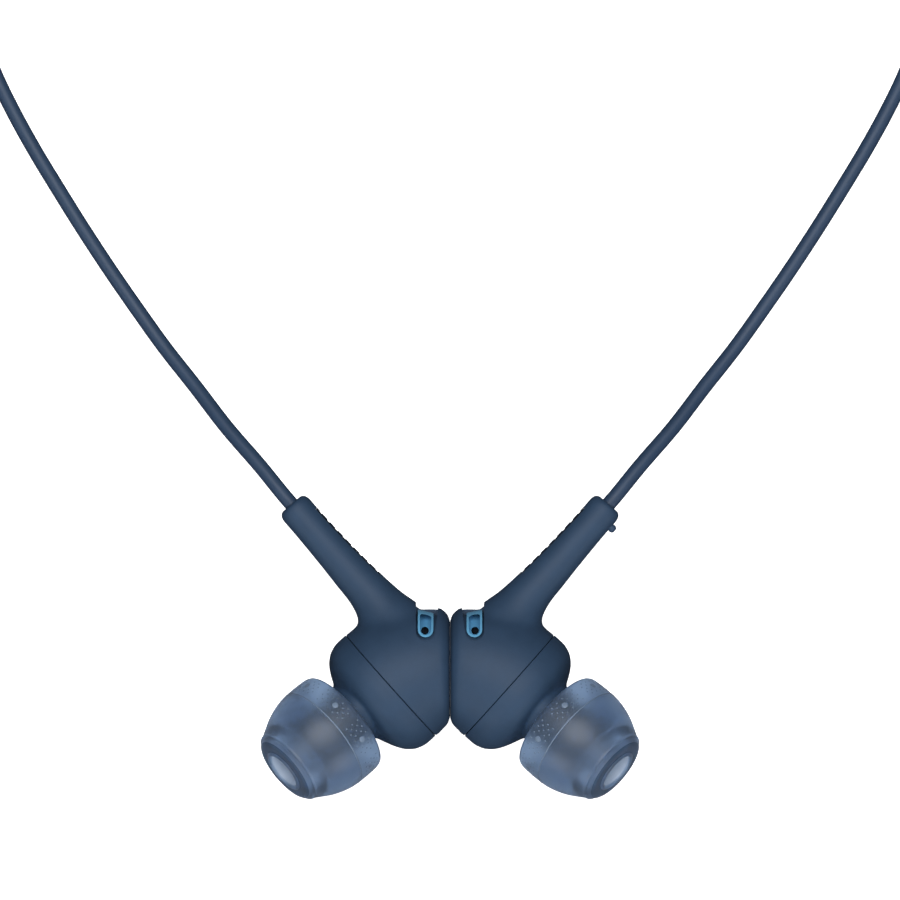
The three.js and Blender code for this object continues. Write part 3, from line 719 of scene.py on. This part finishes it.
def tip_radius(height):
    """The tip's outer radius at a height from its rear rim."""
    for (r0, h0), (r1, h1) in zip(TIP_OUTSIDE, TIP_OUTSIDE[1:]):
        if h0 <= height <= h1:
            return r0 + (r1 - r0) * (height - h0) / (h1 - h0)
    return TIP_OUTSIDE[-1][0]


def bead(spot, out, radius, height):
    """A low round bump on a surface."""
    rings = [(radius, -0.06), (radius * 0.96, height * 0.3), (radius * 0.7, height * 0.75)]
    profile = [(0, -0.06)] + rings + [(0, height)]
    return lathe("bead", profile, spot, out, 10)


MARK_COLUMNS = 96    # round the skirt, in four groups
MARK_ROWS = (0.75, 1.2, 1.65, 2.1, 2.55)


def tip_marks():
    """A raised line round the skirt, and fields of small beads, each round a larger dot."""
    axis, first, second = basis_for(NOZZLE_AXIS)

    def on_skirt(angle, height):
        out = first * math.cos(angle) + second * math.sin(angle)
        return NOZZLE_ORIGIN + axis * (height + TIP_START) + out * tip_radius(height), out

    line_height = 3.35
    radius = tip_radius(line_height)
    base = line_height + TIP_START
    parts = [lathe("line", [
        (radius - 0.04, base - 0.1), (radius + 0.02, base - 0.06), (radius + 0.04, base),
        (radius + 0.02, base + 0.06), (radius - 0.04, base + 0.1),
    ], NOZZLE_ORIGIN, NOZZLE_AXIS, TIP_SEGMENTS)]
    for step in range(MARK_COLUMNS):
        angle = 2 * math.pi * step / MARK_COLUMNS
        group = step % 24
        for row, height in enumerate(MARK_ROWS):
            between_fields = group in (0, 11, 12, 23)
            beside_dot = group in (4, 5, 6, 16, 17, 18) and row in (1, 2, 3)
            if between_fields or beside_dot or (group + row) % 2:
                continue
            parts.append(bead(*on_skirt(angle, height), 0.1, 0.04))
        if group in (5, 17):
            parts.append(bead(*on_skirt(angle, MARK_ROWS[2]), 0.4, 0.07))
    return combine("right_tip_marks", *parts)


PORT_PLACE = ((FRAME_LEFT + FRAME_RIGHT) / 2 - 0.08, FRAME_BOTTOM + 0.76)


def roof_radius(x):
    """The insert's outer surface, which falls towards the bud's back."""
    return 7.42 - 0.24 * (x - FRAME_LEFT)


def bass_duct():
    """A moulded insert: a flush rim round a sloping channel with a port at its foot; the channel's
    faces get a darker copy of the insert's blue as painted shade.
    """
    frame_outline = duct_outline(FRAME_LEFT, FRAME_RIGHT, FRAME_BOTTOM)
    body = prism("right_duct_frame", frame_outline, -1.5, 9.0)
    roof = lathe("roof", [(0, -5.5), (roof_radius(-5.5), -5.5), (roof_radius(0), 0), (0, 0)],
                 place(0, 0), (1, 0, 0), 128)
    cut_away(body, roof, operation="INTERSECT")
    wall, top = 0.25, 6.6
    left, right, bottom = FRAME_LEFT + wall, FRAME_RIGHT - wall, FRAME_BOTTOM + wall
    radius = (right - left) / 2
    outline = duct_outline(left, right, bottom, top)
    outline += [
        (left + radius + radius * math.cos(a), top + 0.2 * math.sin(a) - 0.14 * math.cos(a))
        for a in (math.pi * i / 12 for i in range(1, 12))
    ]
    channel = prism("channel", outline, -1.2, 10.0)
    slope = [(3.0, 7.15), (8.0, -2.15), (8.0, -4.0), (3.0, -4.0)]
    count = len(slope)
    points = [place(x, y, z) for x in (-6.0, 1.0) for y, z in slope]
    faces = [tuple(range(count)), tuple(reversed(range(count, 2 * count)))]
    faces += [(i, i + count, (i + 1) % count + count, (i + 1) % count) for i in range(count)]
    cut_away(channel, object_from("channel_floor", points, faces))
    port = cylinder("port", 0.46, 1.4, 6.5, place(*PORT_PLACE), (0, 0, 1), 40)
    cut_away(body, channel, port)
    make_outward(body)
    shade(body, 30.0)

    # Faces sunk below the roof inside the rim, the channel's, take a darker blue as painted shade.
    def slot_of(face):
        spot = face.center / MM - place(0, 0)
        sunk = math.hypot(spot.y, spot.z) < roof_radius(spot.x) - 0.04
        inside = left - 0.01 < spot.x < right + 0.01 and spot.y > bottom - 0.01
        return 1 if sunk and inside else 0

    mark_faces(body, 2, slot_of)
    return body


def duct_foot_shade():
    """A near-black disc at the bottom of the port: painted shade for the hole's dark foot."""
    return lathe("right_duct_screen", [
        (0, 1.45), (0.45, 1.45), (0.45, 1.6), (0.3, 1.64), (0, 1.66),
    ], place(*PORT_PLACE), (0, 0, 1), 32)


def stem_width(distance):
    """How far the stem's surface is from its axis, on the inner side."""
    for (d0, s0, w0, _), (d1, s1, w1, _) in zip(STEM_SECTIONS, STEM_SECTIONS[1:]):
        if d0 <= distance <= d1:
            return s0 + w0 + (s1 + w1 - s0 - w0) * (distance - d0) / (d1 - d0)
    return STEM_SECTIONS[-1][2]


def grip_strip():
    """A rubber comb along the stem's inner side, its ribs level with the stem's surface; its groove
    floors are painted near black as shade.
    """
    ribs, groove, depth = 8, 0.42, 0.1
    strip = stem_loft("right_grip_strip", 160)
    block = stem_block("block", GRIP_START + FIT, GRIP_END - FIT, 1.5, 5.0, GRIP_HALF)
    cut_away(strip, block, operation="INTERSECT")
    pitch = (GRIP_END - GRIP_START) / ribs
    for i in range(ribs):
        at = GRIP_START + pitch * (i + 0.5)
        surface = stem_width(at) - depth
        cut_away(strip, stem_block("notch", at - groove / 2, at + groove / 2, surface, 5.0, 2.0))
    make_outward(strip)
    shade(strip, 30.0)

    # Faces below the ribs' tops, the groove floors, take the near-black painted shade.
    def slot_of(face):
        spot = face.center / MM - in_stem(0)
        floor_level = stem_width(spot.dot(STEM_DIRECTION)) - depth + 0.02
        return 1 if spot.dot(STEM_SIDE) < floor_level else 0

    mark_faces(strip, 2, slot_of)
    return strip


def cable_sleeve():
    """A soft ring inside the stem's mouth, where the cable enters."""
    return lathe("right_cable_sleeve", [
        (1.0, 1.4), (0.96, 0.3), (0.97, 0.12), (1.05, 0.06), (1.13, 0.12), (1.17, 0.3),
        (1.17, 1.4),
    ], in_stem(0), STEM_DIRECTION, 48)


def nozzle_mesh():
    """A woven wire disc in a thin rim, in the nozzle's seat."""
    rim = lathe("rim", [(2.0, 11.42), (2.15, 11.42), (2.17, 11.5), (2.15, 11.64), (2.0, 11.66)],
                NOZZLE_ORIGIN, NOZZLE_AXIS, 64)
    axis, first, second = basis_for(NOZZLE_AXIS)
    pitch, radius, reach = 0.32, 0.07, 2.04
    wires = []
    for along, across, height in ((first, second, 11.5), (second, first, 11.58)):
        for i in range(-6, 7):
            half = math.sqrt(reach * reach - (pitch * i) ** 2)
            middle = NOZZLE_ORIGIN + axis * height + across * (pitch * i)
            wires.append(cylinder("wire", radius, -half, half, middle, along, 8))
    made = combine("right_nozzle_grille", rim, *wires)
    shade(made, 50.0)
    return made


# ---------------------------------------- pods
POD_WIDTH, POD_LENGTH, POD_HEIGHT = 12.0, 42.0, 8.0
POD_CORNER, POD_ROUND, POD_WALL = 5.5, 2.2, 1.2
CONTROL = Vector((POD_X, POD_Y, 0))
BATTERY = Vector((-POD_X, POD_Y, 0))
KEY_WIDTH, KEY_LENGTH, KEY_CORNER = 5.4, 5.6, 1.6
# (name, place along the pod from its middle, mark)
KEYS = [("volume_up", 13.0, "plus"), ("play", 6.0, "dot"), ("volume_down", -1.0, "minus")]
KEY_MARK_FLOOR = 8.37    # the keys' marks stand above this
USB_CENTRE = CONTROL + Vector((0, -10.0, 5.05))
POWER_CENTRE = CONTROL + Vector((0, -10.0, 4.4))
MICROPHONE_Y, LIGHT_Y = 16.6, -16.8


def rounded_rectangle(width, length, corner):
    steps = 10
    x, y = width / 2 - corner, length / 2 - corner
    return [
        (sx * x + corner * math.cos(a), sy * y + corner * math.sin(a))
        for quarter, (sx, sy) in enumerate(((1, 1), (-1, 1), (-1, -1), (1, -1)))
        for a in (math.pi / 2 * (quarter + i / steps) for i in range(steps + 1))
    ]


def upright(x, y, z):
    return Vector((x, y, z))


def facing_side(x, y, z):
    """Turns a slab so that what was its height runs along +X."""
    return Vector((z, y, -x))


def slab(name, centre, width, length, corner, profile, turn=upright):
    """A rounded block from (inset, height) rings, low to high."""
    rings = [
        [
            centre + turn(x, y, height)
            for x, y in rounded_rectangle(width - 2 * inset, length - 2 * inset, corner - inset)
        ]
        for inset, height in profile
    ]
    return object_from(name, *loft_points(rings), 28.0)


def straight(low, high):
    return [(0.0, low), (0.0, high)]


def flatten_shading(obj):
    """Lets large flat faces keep their own normals."""
    step = obj.modifiers.new("normals", "WEIGHTED_NORMAL")
    step.weight = 90
    step.keep_sharp = True
    apply_modifiers(obj)


def pod_half(name, centre, top):
    """A case half: a soft edge all round, a fine chamfer at the parting line, hollow inside."""
    turns = [math.pi / 2 * i / 9 for i in range(10)]
    edge = [(POD_ROUND * (1 - math.sin(a)), POD_ROUND * (1 - math.cos(a))) for a in turns]
    if top:
        edge = [(inset, POD_HEIGHT - height) for inset, height in reversed(edge)]
        profile = [(0.14, POD_SPLIT + 0.01), (0.0, POD_SPLIT + 0.15), *edge]
        inner_low, inner_high = POD_SPLIT - 1, POD_HEIGHT - POD_WALL
    else:
        profile = [*edge, (0.0, POD_SPLIT - 0.15), (0.14, POD_SPLIT - 0.01)]
        inner_low, inner_high = POD_WALL, POD_SPLIT + 1
    half = slab(name, centre, POD_WIDTH, POD_LENGTH, POD_CORNER, profile)
    inside = slab("inside", centre, POD_WIDTH - 2 * POD_WALL, POD_LENGTH - 2 * POD_WALL,
                  POD_CORNER - POD_WALL, straight(inner_low, inner_high))
    lead = cylinder("lead", 2.0, -60, 60, centre + Vector((0, 0, POD_SPLIT)), (0, 1, 0), 48)
    return cut_away(half, inside, lead)


def side_cutters():
    """What the socket and the power key take out of the control pod's sides."""
    socket = slab("socket", USB_CENTRE, 3.5, 9.2, 1.5, straight(3.0, 9.0), facing_side)
    power = slab("power", POWER_CENTRE, 2.05, 4.85, 0.95, straight(-9.0, -3.0), facing_side)
    return socket, power


def drill(radius, y):
    """A hole in the control pod's top."""
    return cylinder("drill", radius, 3, 12, CONTROL + Vector((0, y, 0)), (0, 0, 1), 32)


def control_top():
    """The top case, with wells for the keys and holes for the microphone and the light."""
    case = pod_half("control_case_top", CONTROL, True)
    wells = [
        slab("well", CONTROL + Vector((0, y, 0)), KEY_WIDTH + 0.3, KEY_LENGTH + 0.3,
             KEY_CORNER + 0.15, straight(5.0, 12.0))
        for _, y, _ in KEYS
    ]
    return cut_away(case, *wells, drill(0.4, MICROPHONE_Y), drill(0.75, LIGHT_Y), *side_cutters())


def key_cap(name, y, mark):
    """A soft key on its flange, with a raised plus, dot or minus."""
    centre = CONTROL + Vector((0, y, 0))
    cap = slab("cap", centre, KEY_WIDTH, KEY_LENGTH, KEY_CORNER, [
        (-0.45, 5.7), (-0.45, 6.25), (0.0, 6.3), (0.0, 7.95), (0.07, 8.12), (0.22, 8.25),
        (0.5, 8.32), (1.2, 8.35),
    ])
    top = [(0.04, 8.2), (0.0, 8.36), (0.0, 8.46), (0.07, 8.52)]
    bars = {"plus": ((0.5, 2.3), (2.3, 0.5)), "minus": ((2.3, 0.5),), "dot": ((1.3, 1.3),)}[mark]
    marks = [
        slab("mark", centre, width, length, min(width, length) / 2 - 0.01, top)
        for width, length in bars
    ]
    if len(marks) == 2:
        cut_away(marks[0], marks.pop(), operation="UNION")
    made = combine(f"{name}_key", cap, *marks)
    shade(made, 28.0)
    mark_faces(made, 2, lambda face: 1 if face.center.z / MM > KEY_MARK_FLOOR else 0)
    return made


def power_key():
    return slab("power_key", POWER_CENTRE, 1.8, 4.6, 0.85, [
        (0.45, -6.06), (0.2, -6.02), (0.06, -5.9), (0.0, -5.7), (0.0, -3.6),
    ], facing_side)


def usb_shell():
    body = slab("usb_c_metal_shell", USB_CENTRE, 3.2, 8.9, 1.45, [
        (0.0, -1.0), (0.0, 5.55), (0.06, 5.68), (0.14, 5.7),
    ], facing_side)
    hollow = slab("hollow", USB_CENTRE, 2.6, 8.3, 1.2, [
        (0.0, -0.3), (0.0, 5.5), (-0.1, 5.72), (-0.1, 6.5),
    ], facing_side)
    return cut_away(body, hollow)


def usb_tongue():
    """The socket's tongue, with twelve contacts on each face."""
    tongue = slab("tongue", USB_CENTRE, 0.7, 6.6, 0.2, [
        (0.0, -0.3), (0.0, 4.7), (0.1, 4.9),
    ], facing_side)
    contacts = [
        slab("contact", USB_CENTRE + Vector((0, (i - 5.5) * 0.5, side * 0.36)), 0.06, 0.26, 0.02,
             straight(1.5, 4.4), facing_side)
        for i in range(12)
        for side in (-1, 1)
    ]
    made = combine("usb_c_tongue", tongue, *contacts)
    shade(made, 28.0)
    return made


def light_window():
    return lathe("status_light_pipe", [
        (0, 4.3), (0.7, 4.3), (0.7, 7.85), (0.6, 7.98), (0.3, 8.05), (0, 8.07),
    ], CONTROL + Vector((0, LIGHT_Y, 0)), (0, 0, 1), 40)


def strain_relief(name, centre, end):
    """A soft tapered sleeve: a flange held in the case, then ribs that thin out to the cable."""
    profile = [(0, 18.4), (2.35, 18.4), (2.35, 19.2), (1.72, 19.25), (1.72, 21.0), (2.3, 21.06),
               (2.36, 21.2), (2.34, 21.5)]
    ribs, first_rib, last_end = 6, 21.6, 25.6
    pitch = (last_end - first_rib) / ribs
    for i in range(ribs):
        at = first_rib + pitch * i
        outer = 2.25 - 0.85 * i / ribs
        profile += [(outer - 0.22, at), (outer - 0.22, at + 0.16), (outer - 0.04, at + 0.22),
                    (outer, at + 0.34), (outer - 0.08, at + pitch - 0.04)]
    profile += [(1.28, 25.62), (1.26, 25.85), (1.16, 26.0), (0.93, 26.0), (0.93, 24.0), (0, 24.0)]
    return lathe(name, profile, centre + Vector((0, 0, POD_SPLIT)), (0, end, 0), 64, 40.0)


POD_PIECES = [
    # (piece, body, replaced CAD nodes, slot)
    (cut_away(pod_half("control_case_bottom", CONTROL, False), *side_cutters()), "neckband",
     ["control_bottom_case"], "shell_blue"),
    (control_top(), "neckband", ["control_top_case"], "shell_blue"),
    (pod_half("battery_case_bottom", BATTERY, False), "neckband", ["battery_bottom_case"],
     "shell_blue"),
    (pod_half("battery_case_top", BATTERY, True), "neckband", ["battery_top_case"], "shell_blue"),
    *[
        (key_cap(name, y, mark), name, [f"{name}_button"], "button_blue")
        for name, y, mark in KEYS
    ],
    (power_key(), "power", ["power_button"], "button_blue"),
    (usb_shell(), "neckband", ["usb_c_socket"], "steel"),
    (usb_tongue(), "neckband", [], "dark_plastic"),
    (light_window(), "neckband", ["light_pipe"], "light_pipe"),
    *[
        (strain_relief(f"{pod}_strain_relief_{where}", centre, end), "neckband",
         [f"{pod}_relief_{where}"], "cable_blue")
        for pod, centre in (("control", CONTROL), ("battery", BATTERY))
        for where, end in (("upper", 1), ("lower", -1))
    ],
]
made_pieces = []
for piece, body, replaced, slot in POD_PIECES:
    flatten_shading(piece)
    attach(piece, body)
    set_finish(piece, slot)
    if replaced:
        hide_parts(*replaced)
    made_pieces.append(piece)


# ---------------------------------------- both buds
def tactile_dot():
    """A small bump on the left stem, to tell it by touch."""
    spot = in_stem(1.95, -2.2, 0.2)
    return lathe("left_tactile_dot", [
        (0, -0.6), (0.44, -0.6), (0.46, -0.2), (0.5, 0.0), (0.5, 0.18), (0.4, 0.38), (0.22, 0.48),
        (0, 0.5),
    ], Vector((-spot.x, spot.y, spot.z)), Vector((STEM_SIDE.x, -STEM_SIDE.y, 0)), 40)


BUD_PIECES = [
    # (maker, body, replaced CAD node, slot)
    (rear_shell, "bud", "rear_shell", "shell_blue"),
    (front_shell, "bud", "front_shell", "shell_blue"),
    (bass_duct, "bud", "bass_duct", "duct_blue"),
    # A near-black disc, painted shade at the port's foot.
    (duct_foot_shade, "bud", None, "grip_dark"),
    (grip_strip, "bud", "stem_grip", "shell_blue"),
    (cable_sleeve, "bud", None, "cable_blue"),
    (nozzle_mesh, "bud", "nozzle_mesh", "steel"),
    (ear_tip, "tip", "ear_tip", "silicone"),
    (tip_marks, "tip", None, "silicone"),
]
for maker, body, node, slot in BUD_PIECES:
    right = maker()
    left = mirrored_copy(right, right.name.replace("right_", "left_"))
    for side, piece in (("right", right), ("left", left)):
        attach(piece, f"{side}_{body}")
        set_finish(piece, slot)
        if node:
            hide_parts(f"{side}_{node}")
        made_pieces.append(piece)
dot = tactile_dot()
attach(dot, "left_bud")
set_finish(dot, "shell_blue")
made_pieces.append(dot)


# ---------------------------------------- materials
def srgb(red, green, blue):
    """A colour given as 0 to 255 display values, as linear light."""
    def linear(value):
        value /= 255.0
        return value / 12.92 if value <= 0.04045 else ((value + 0.055) / 1.055) ** 2.4
    return (linear(red), linear(green), linear(blue), 1.0)


ROUGHNESS_SPREAD = 0.06
GRAIN_HEIGHT = 0.00002    # metres


def surface(name, colour, rough, grain=9000.0, bump=0.25, tint=0.06, metal=0.0, coat=0.0,
            specular=0.5):
    """A moulded or rubbed surface: mottled colour, uneven roughness and a fine grain."""
    material = bpy.data.materials.new(name)
    material.use_nodes = True
    tree = material.node_tree
    shader = tree.nodes["Principled BSDF"]
    make = tree.nodes.new
    link = tree.links.new
    where = make("ShaderNodeTexCoord")
    blotch = make("ShaderNodeTexNoise")
    blotch.inputs["Scale"].default_value = 420.0
    blotch.inputs["Detail"].default_value = 5.0
    link(where.outputs["Object"], blotch.inputs["Vector"])
    shades = make("ShaderNodeValToRGB")
    dark = [c * (1 - tint) for c in colour[:3]]
    light = [min(c * (1 + tint), 1.0) for c in colour[:3]]
    for stop, at, shown in zip(shades.color_ramp.elements, (0.3, 0.7), (dark, light)):
        stop.position = at
        stop.color = (*shown, 1.0)
    link(blotch.outputs["Fac"], shades.inputs["Fac"])
    link(shades.outputs["Color"], shader.inputs["Base Color"])
    fine = make("ShaderNodeTexNoise")
    fine.inputs["Scale"].default_value = grain
    fine.inputs["Detail"].default_value = 3.0
    link(where.outputs["Object"], fine.inputs["Vector"])
    roughness = make("ShaderNodeMapRange")
    roughness.inputs["To Min"].default_value = rough - ROUGHNESS_SPREAD
    roughness.inputs["To Max"].default_value = rough + ROUGHNESS_SPREAD
    link(blotch.outputs["Fac"], roughness.inputs["Value"])
    link(roughness.outputs["Result"], shader.inputs["Roughness"])
    relief = make("ShaderNodeBump")
    relief.inputs["Strength"].default_value = bump
    relief.inputs["Distance"].default_value = GRAIN_HEIGHT
    link(fine.outputs["Fac"], relief.inputs["Height"])
    link(relief.outputs["Normal"], shader.inputs["Normal"])
    shader.inputs["Metallic"].default_value = metal
    shader.inputs["Coat Weight"].default_value = coat
    shader.inputs["Specular IOR Level"].default_value = specular
    return material


def silicone(name, colour, through, rough):
    """Frosted silicone: some light goes through it, blurred, and the rest comes back."""
    material = surface(name, colour, rough, grain=5000.0, bump=0.1, tint=0.04)
    shader = material.node_tree.nodes["Principled BSDF"]
    shader.inputs["Transmission Weight"].default_value = through
    shader.inputs["IOR"].default_value = 1.41
    shader.inputs["Sheen Weight"].default_value = 0.1
    shader.inputs["Sheen Roughness"].default_value = 0.4
    return material


SHELL = surface("shell_plastic", srgb(39, 59, 82), 0.6, specular=0.24)
CABLE = surface("cable_jacket", srgb(38, 56, 79), 0.5, grain=6000.0, specular=0.28)
# Darker copy of the insert's blue for its channel: painted shade.
DUCT_CHANNEL_SHADE = surface("duct_channel", srgb(86, 148, 188), 0.45, bump=0.15, specular=0.3)
DUCT = surface("duct_plastic", srgb(94, 156, 194), 0.38, bump=0.15, specular=0.4)
# Near black: painted shade for the grip's groove floors and for the port's foot.
SHADE_BLACK = surface("grip_rubber", srgb(14, 22, 33), 0.75, bump=0.4, specular=0.2)
TIP = silicone("tip_silicone", srgb(120, 144, 174), 0.86, 0.42)
# Lighter, less clear copy of the tip's silicone for its bore: painted light.
TIP_BORE_PAINTED_LIGHT = silicone("tip_core_silicone", srgb(174, 188, 207), 0.3, 0.4)
# Darker copy of the tip's silicone for its front ring and core: painted shade.
TIP_RING_PAINTED_SHADE = silicone("tip_ring_silicone", srgb(62, 84, 112), 0.55, 0.42)
TIP_MARK = silicone("tip_mark_silicone", srgb(116, 135, 159), 0.3, 0.5)
WOVEN = surface("woven_black_wire", srgb(44, 47, 52), 0.6, metal=0.3, specular=0.3)
STEEL = surface("steel", srgb(190, 192, 196), 0.3, metal=1.0, tint=0.03)
MAGNET_METAL = surface("magnet_nickel", srgb(170, 172, 176), 0.28, metal=1.0, tint=0.03)
COPPER = surface("copper_wire", srgb(184, 115, 60), 0.35, metal=1.0)
FILM = surface("diaphragm_film", srgb(205, 210, 216), 0.4)
DARK = surface("dark_plastic", srgb(30, 32, 36), 0.5)
BOARD = surface("board_mask", srgb(24, 92, 60), 0.35, coat=0.4)
CELL = surface("cell_pouch", srgb(186, 190, 196), 0.35, metal=0.6)
CLEAR = surface("light_pipe", srgb(196, 206, 218), 0.3)
KEY = surface("key_rubber", srgb(44, 62, 84), 0.55)
KEY_MARK = surface("key_mark_paint", srgb(150, 164, 180), 0.6, bump=0.1)

SLOT_MATERIALS = {
    "shell_blue": SHELL, "button_blue": KEY, "duct_blue": DUCT, "grip_dark": SHADE_BLACK,
    "silicone": TIP, "cable_blue": CABLE, "steel": STEEL, "magnet": MAGNET_METAL,
    "copper": COPPER, "film": FILM, "dark_plastic": DARK, "board_green": BOARD,
    "cell_silver": CELL, "light_pipe": CLEAR,
}
# By the end of a piece's name: materials in place of its slot's own, and more materials for the
# faces that it marks with index 1 and 2.
OWN_MATERIALS = {"_tip_marks": TIP_MARK, "_nozzle_grille": WOVEN}
# The tip's bore takes painted light; its front ring and core, the grip's groove floors and the
# duct's channel take painted shade.
SECOND_MATERIALS = {"_silicone_tip": (TIP_BORE_PAINTED_LIGHT, TIP_RING_PAINTED_SHADE), "_grip_strip": (SHADE_BLACK,),
                    "_duct_frame": (DUCT_CHANNEL_SHADE,), "_key": (KEY_MARK,)}
for entry in frame["record"]["subparts"]:
    node = frame["nodes"][entry["node"]]
    node.data.materials.clear()
    node.data.materials.append(SLOT_MATERIALS[entry["material_slot"]])
for piece in made_pieces + [right_cable, left_cable, neck_cable]:
    own = [m for end, m in OWN_MATERIALS.items() if piece.name.endswith(end)]
    seconds = [m for k, more in SECOND_MATERIALS.items() if piece.name.endswith(k) for m in more]
    indices = [face.material_index for face in piece.data.polygons]
    piece.data.materials.clear()
    for material in (own or [SLOT_MATERIALS[piece["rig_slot"]]]) + seconds:
        piece.data.materials.append(material)
    piece.data.polygons.foreach_set("material_index", indices)

# ---------------------------------------- floor
FLOOR_HALF = 1.5    # metres
FLOOR_DROP = 0.02    # mm, clear of the faces that rest on it
floor_mesh = bpy.data.meshes.new("floor")
corners = [(FLOOR_HALF * x, FLOOR_HALF * y, 0) for x, y in ((-1, -1), (1, -1), (1, 1), (-1, 1))]
floor_mesh.from_pydata(corners, [], [(0, 1, 2, 3)])
floor = bpy.data.objects.new("floor", floor_mesh)
scene.collection.objects.link(floor)
floor.location.z = -FLOOR_DROP * MM
floor_paper = surface("floor_paper", srgb(250, 250, 250), 0.8, tint=0.0, bump=0.05, specular=0.1)
paper_shader = floor_paper.node_tree.nodes["Principled BSDF"]
paper_shader.inputs["Emission Color"].default_value = (1.0, 1.0, 1.0, 1.0)
paper_shader.inputs["Emission Strength"].default_value = 0.8
floor_mesh.materials.append(floor_paper)
# It shows as white paper and doesn't tint the part's edges.
floor.visible_diffuse = False
floor.visible_glossy = False
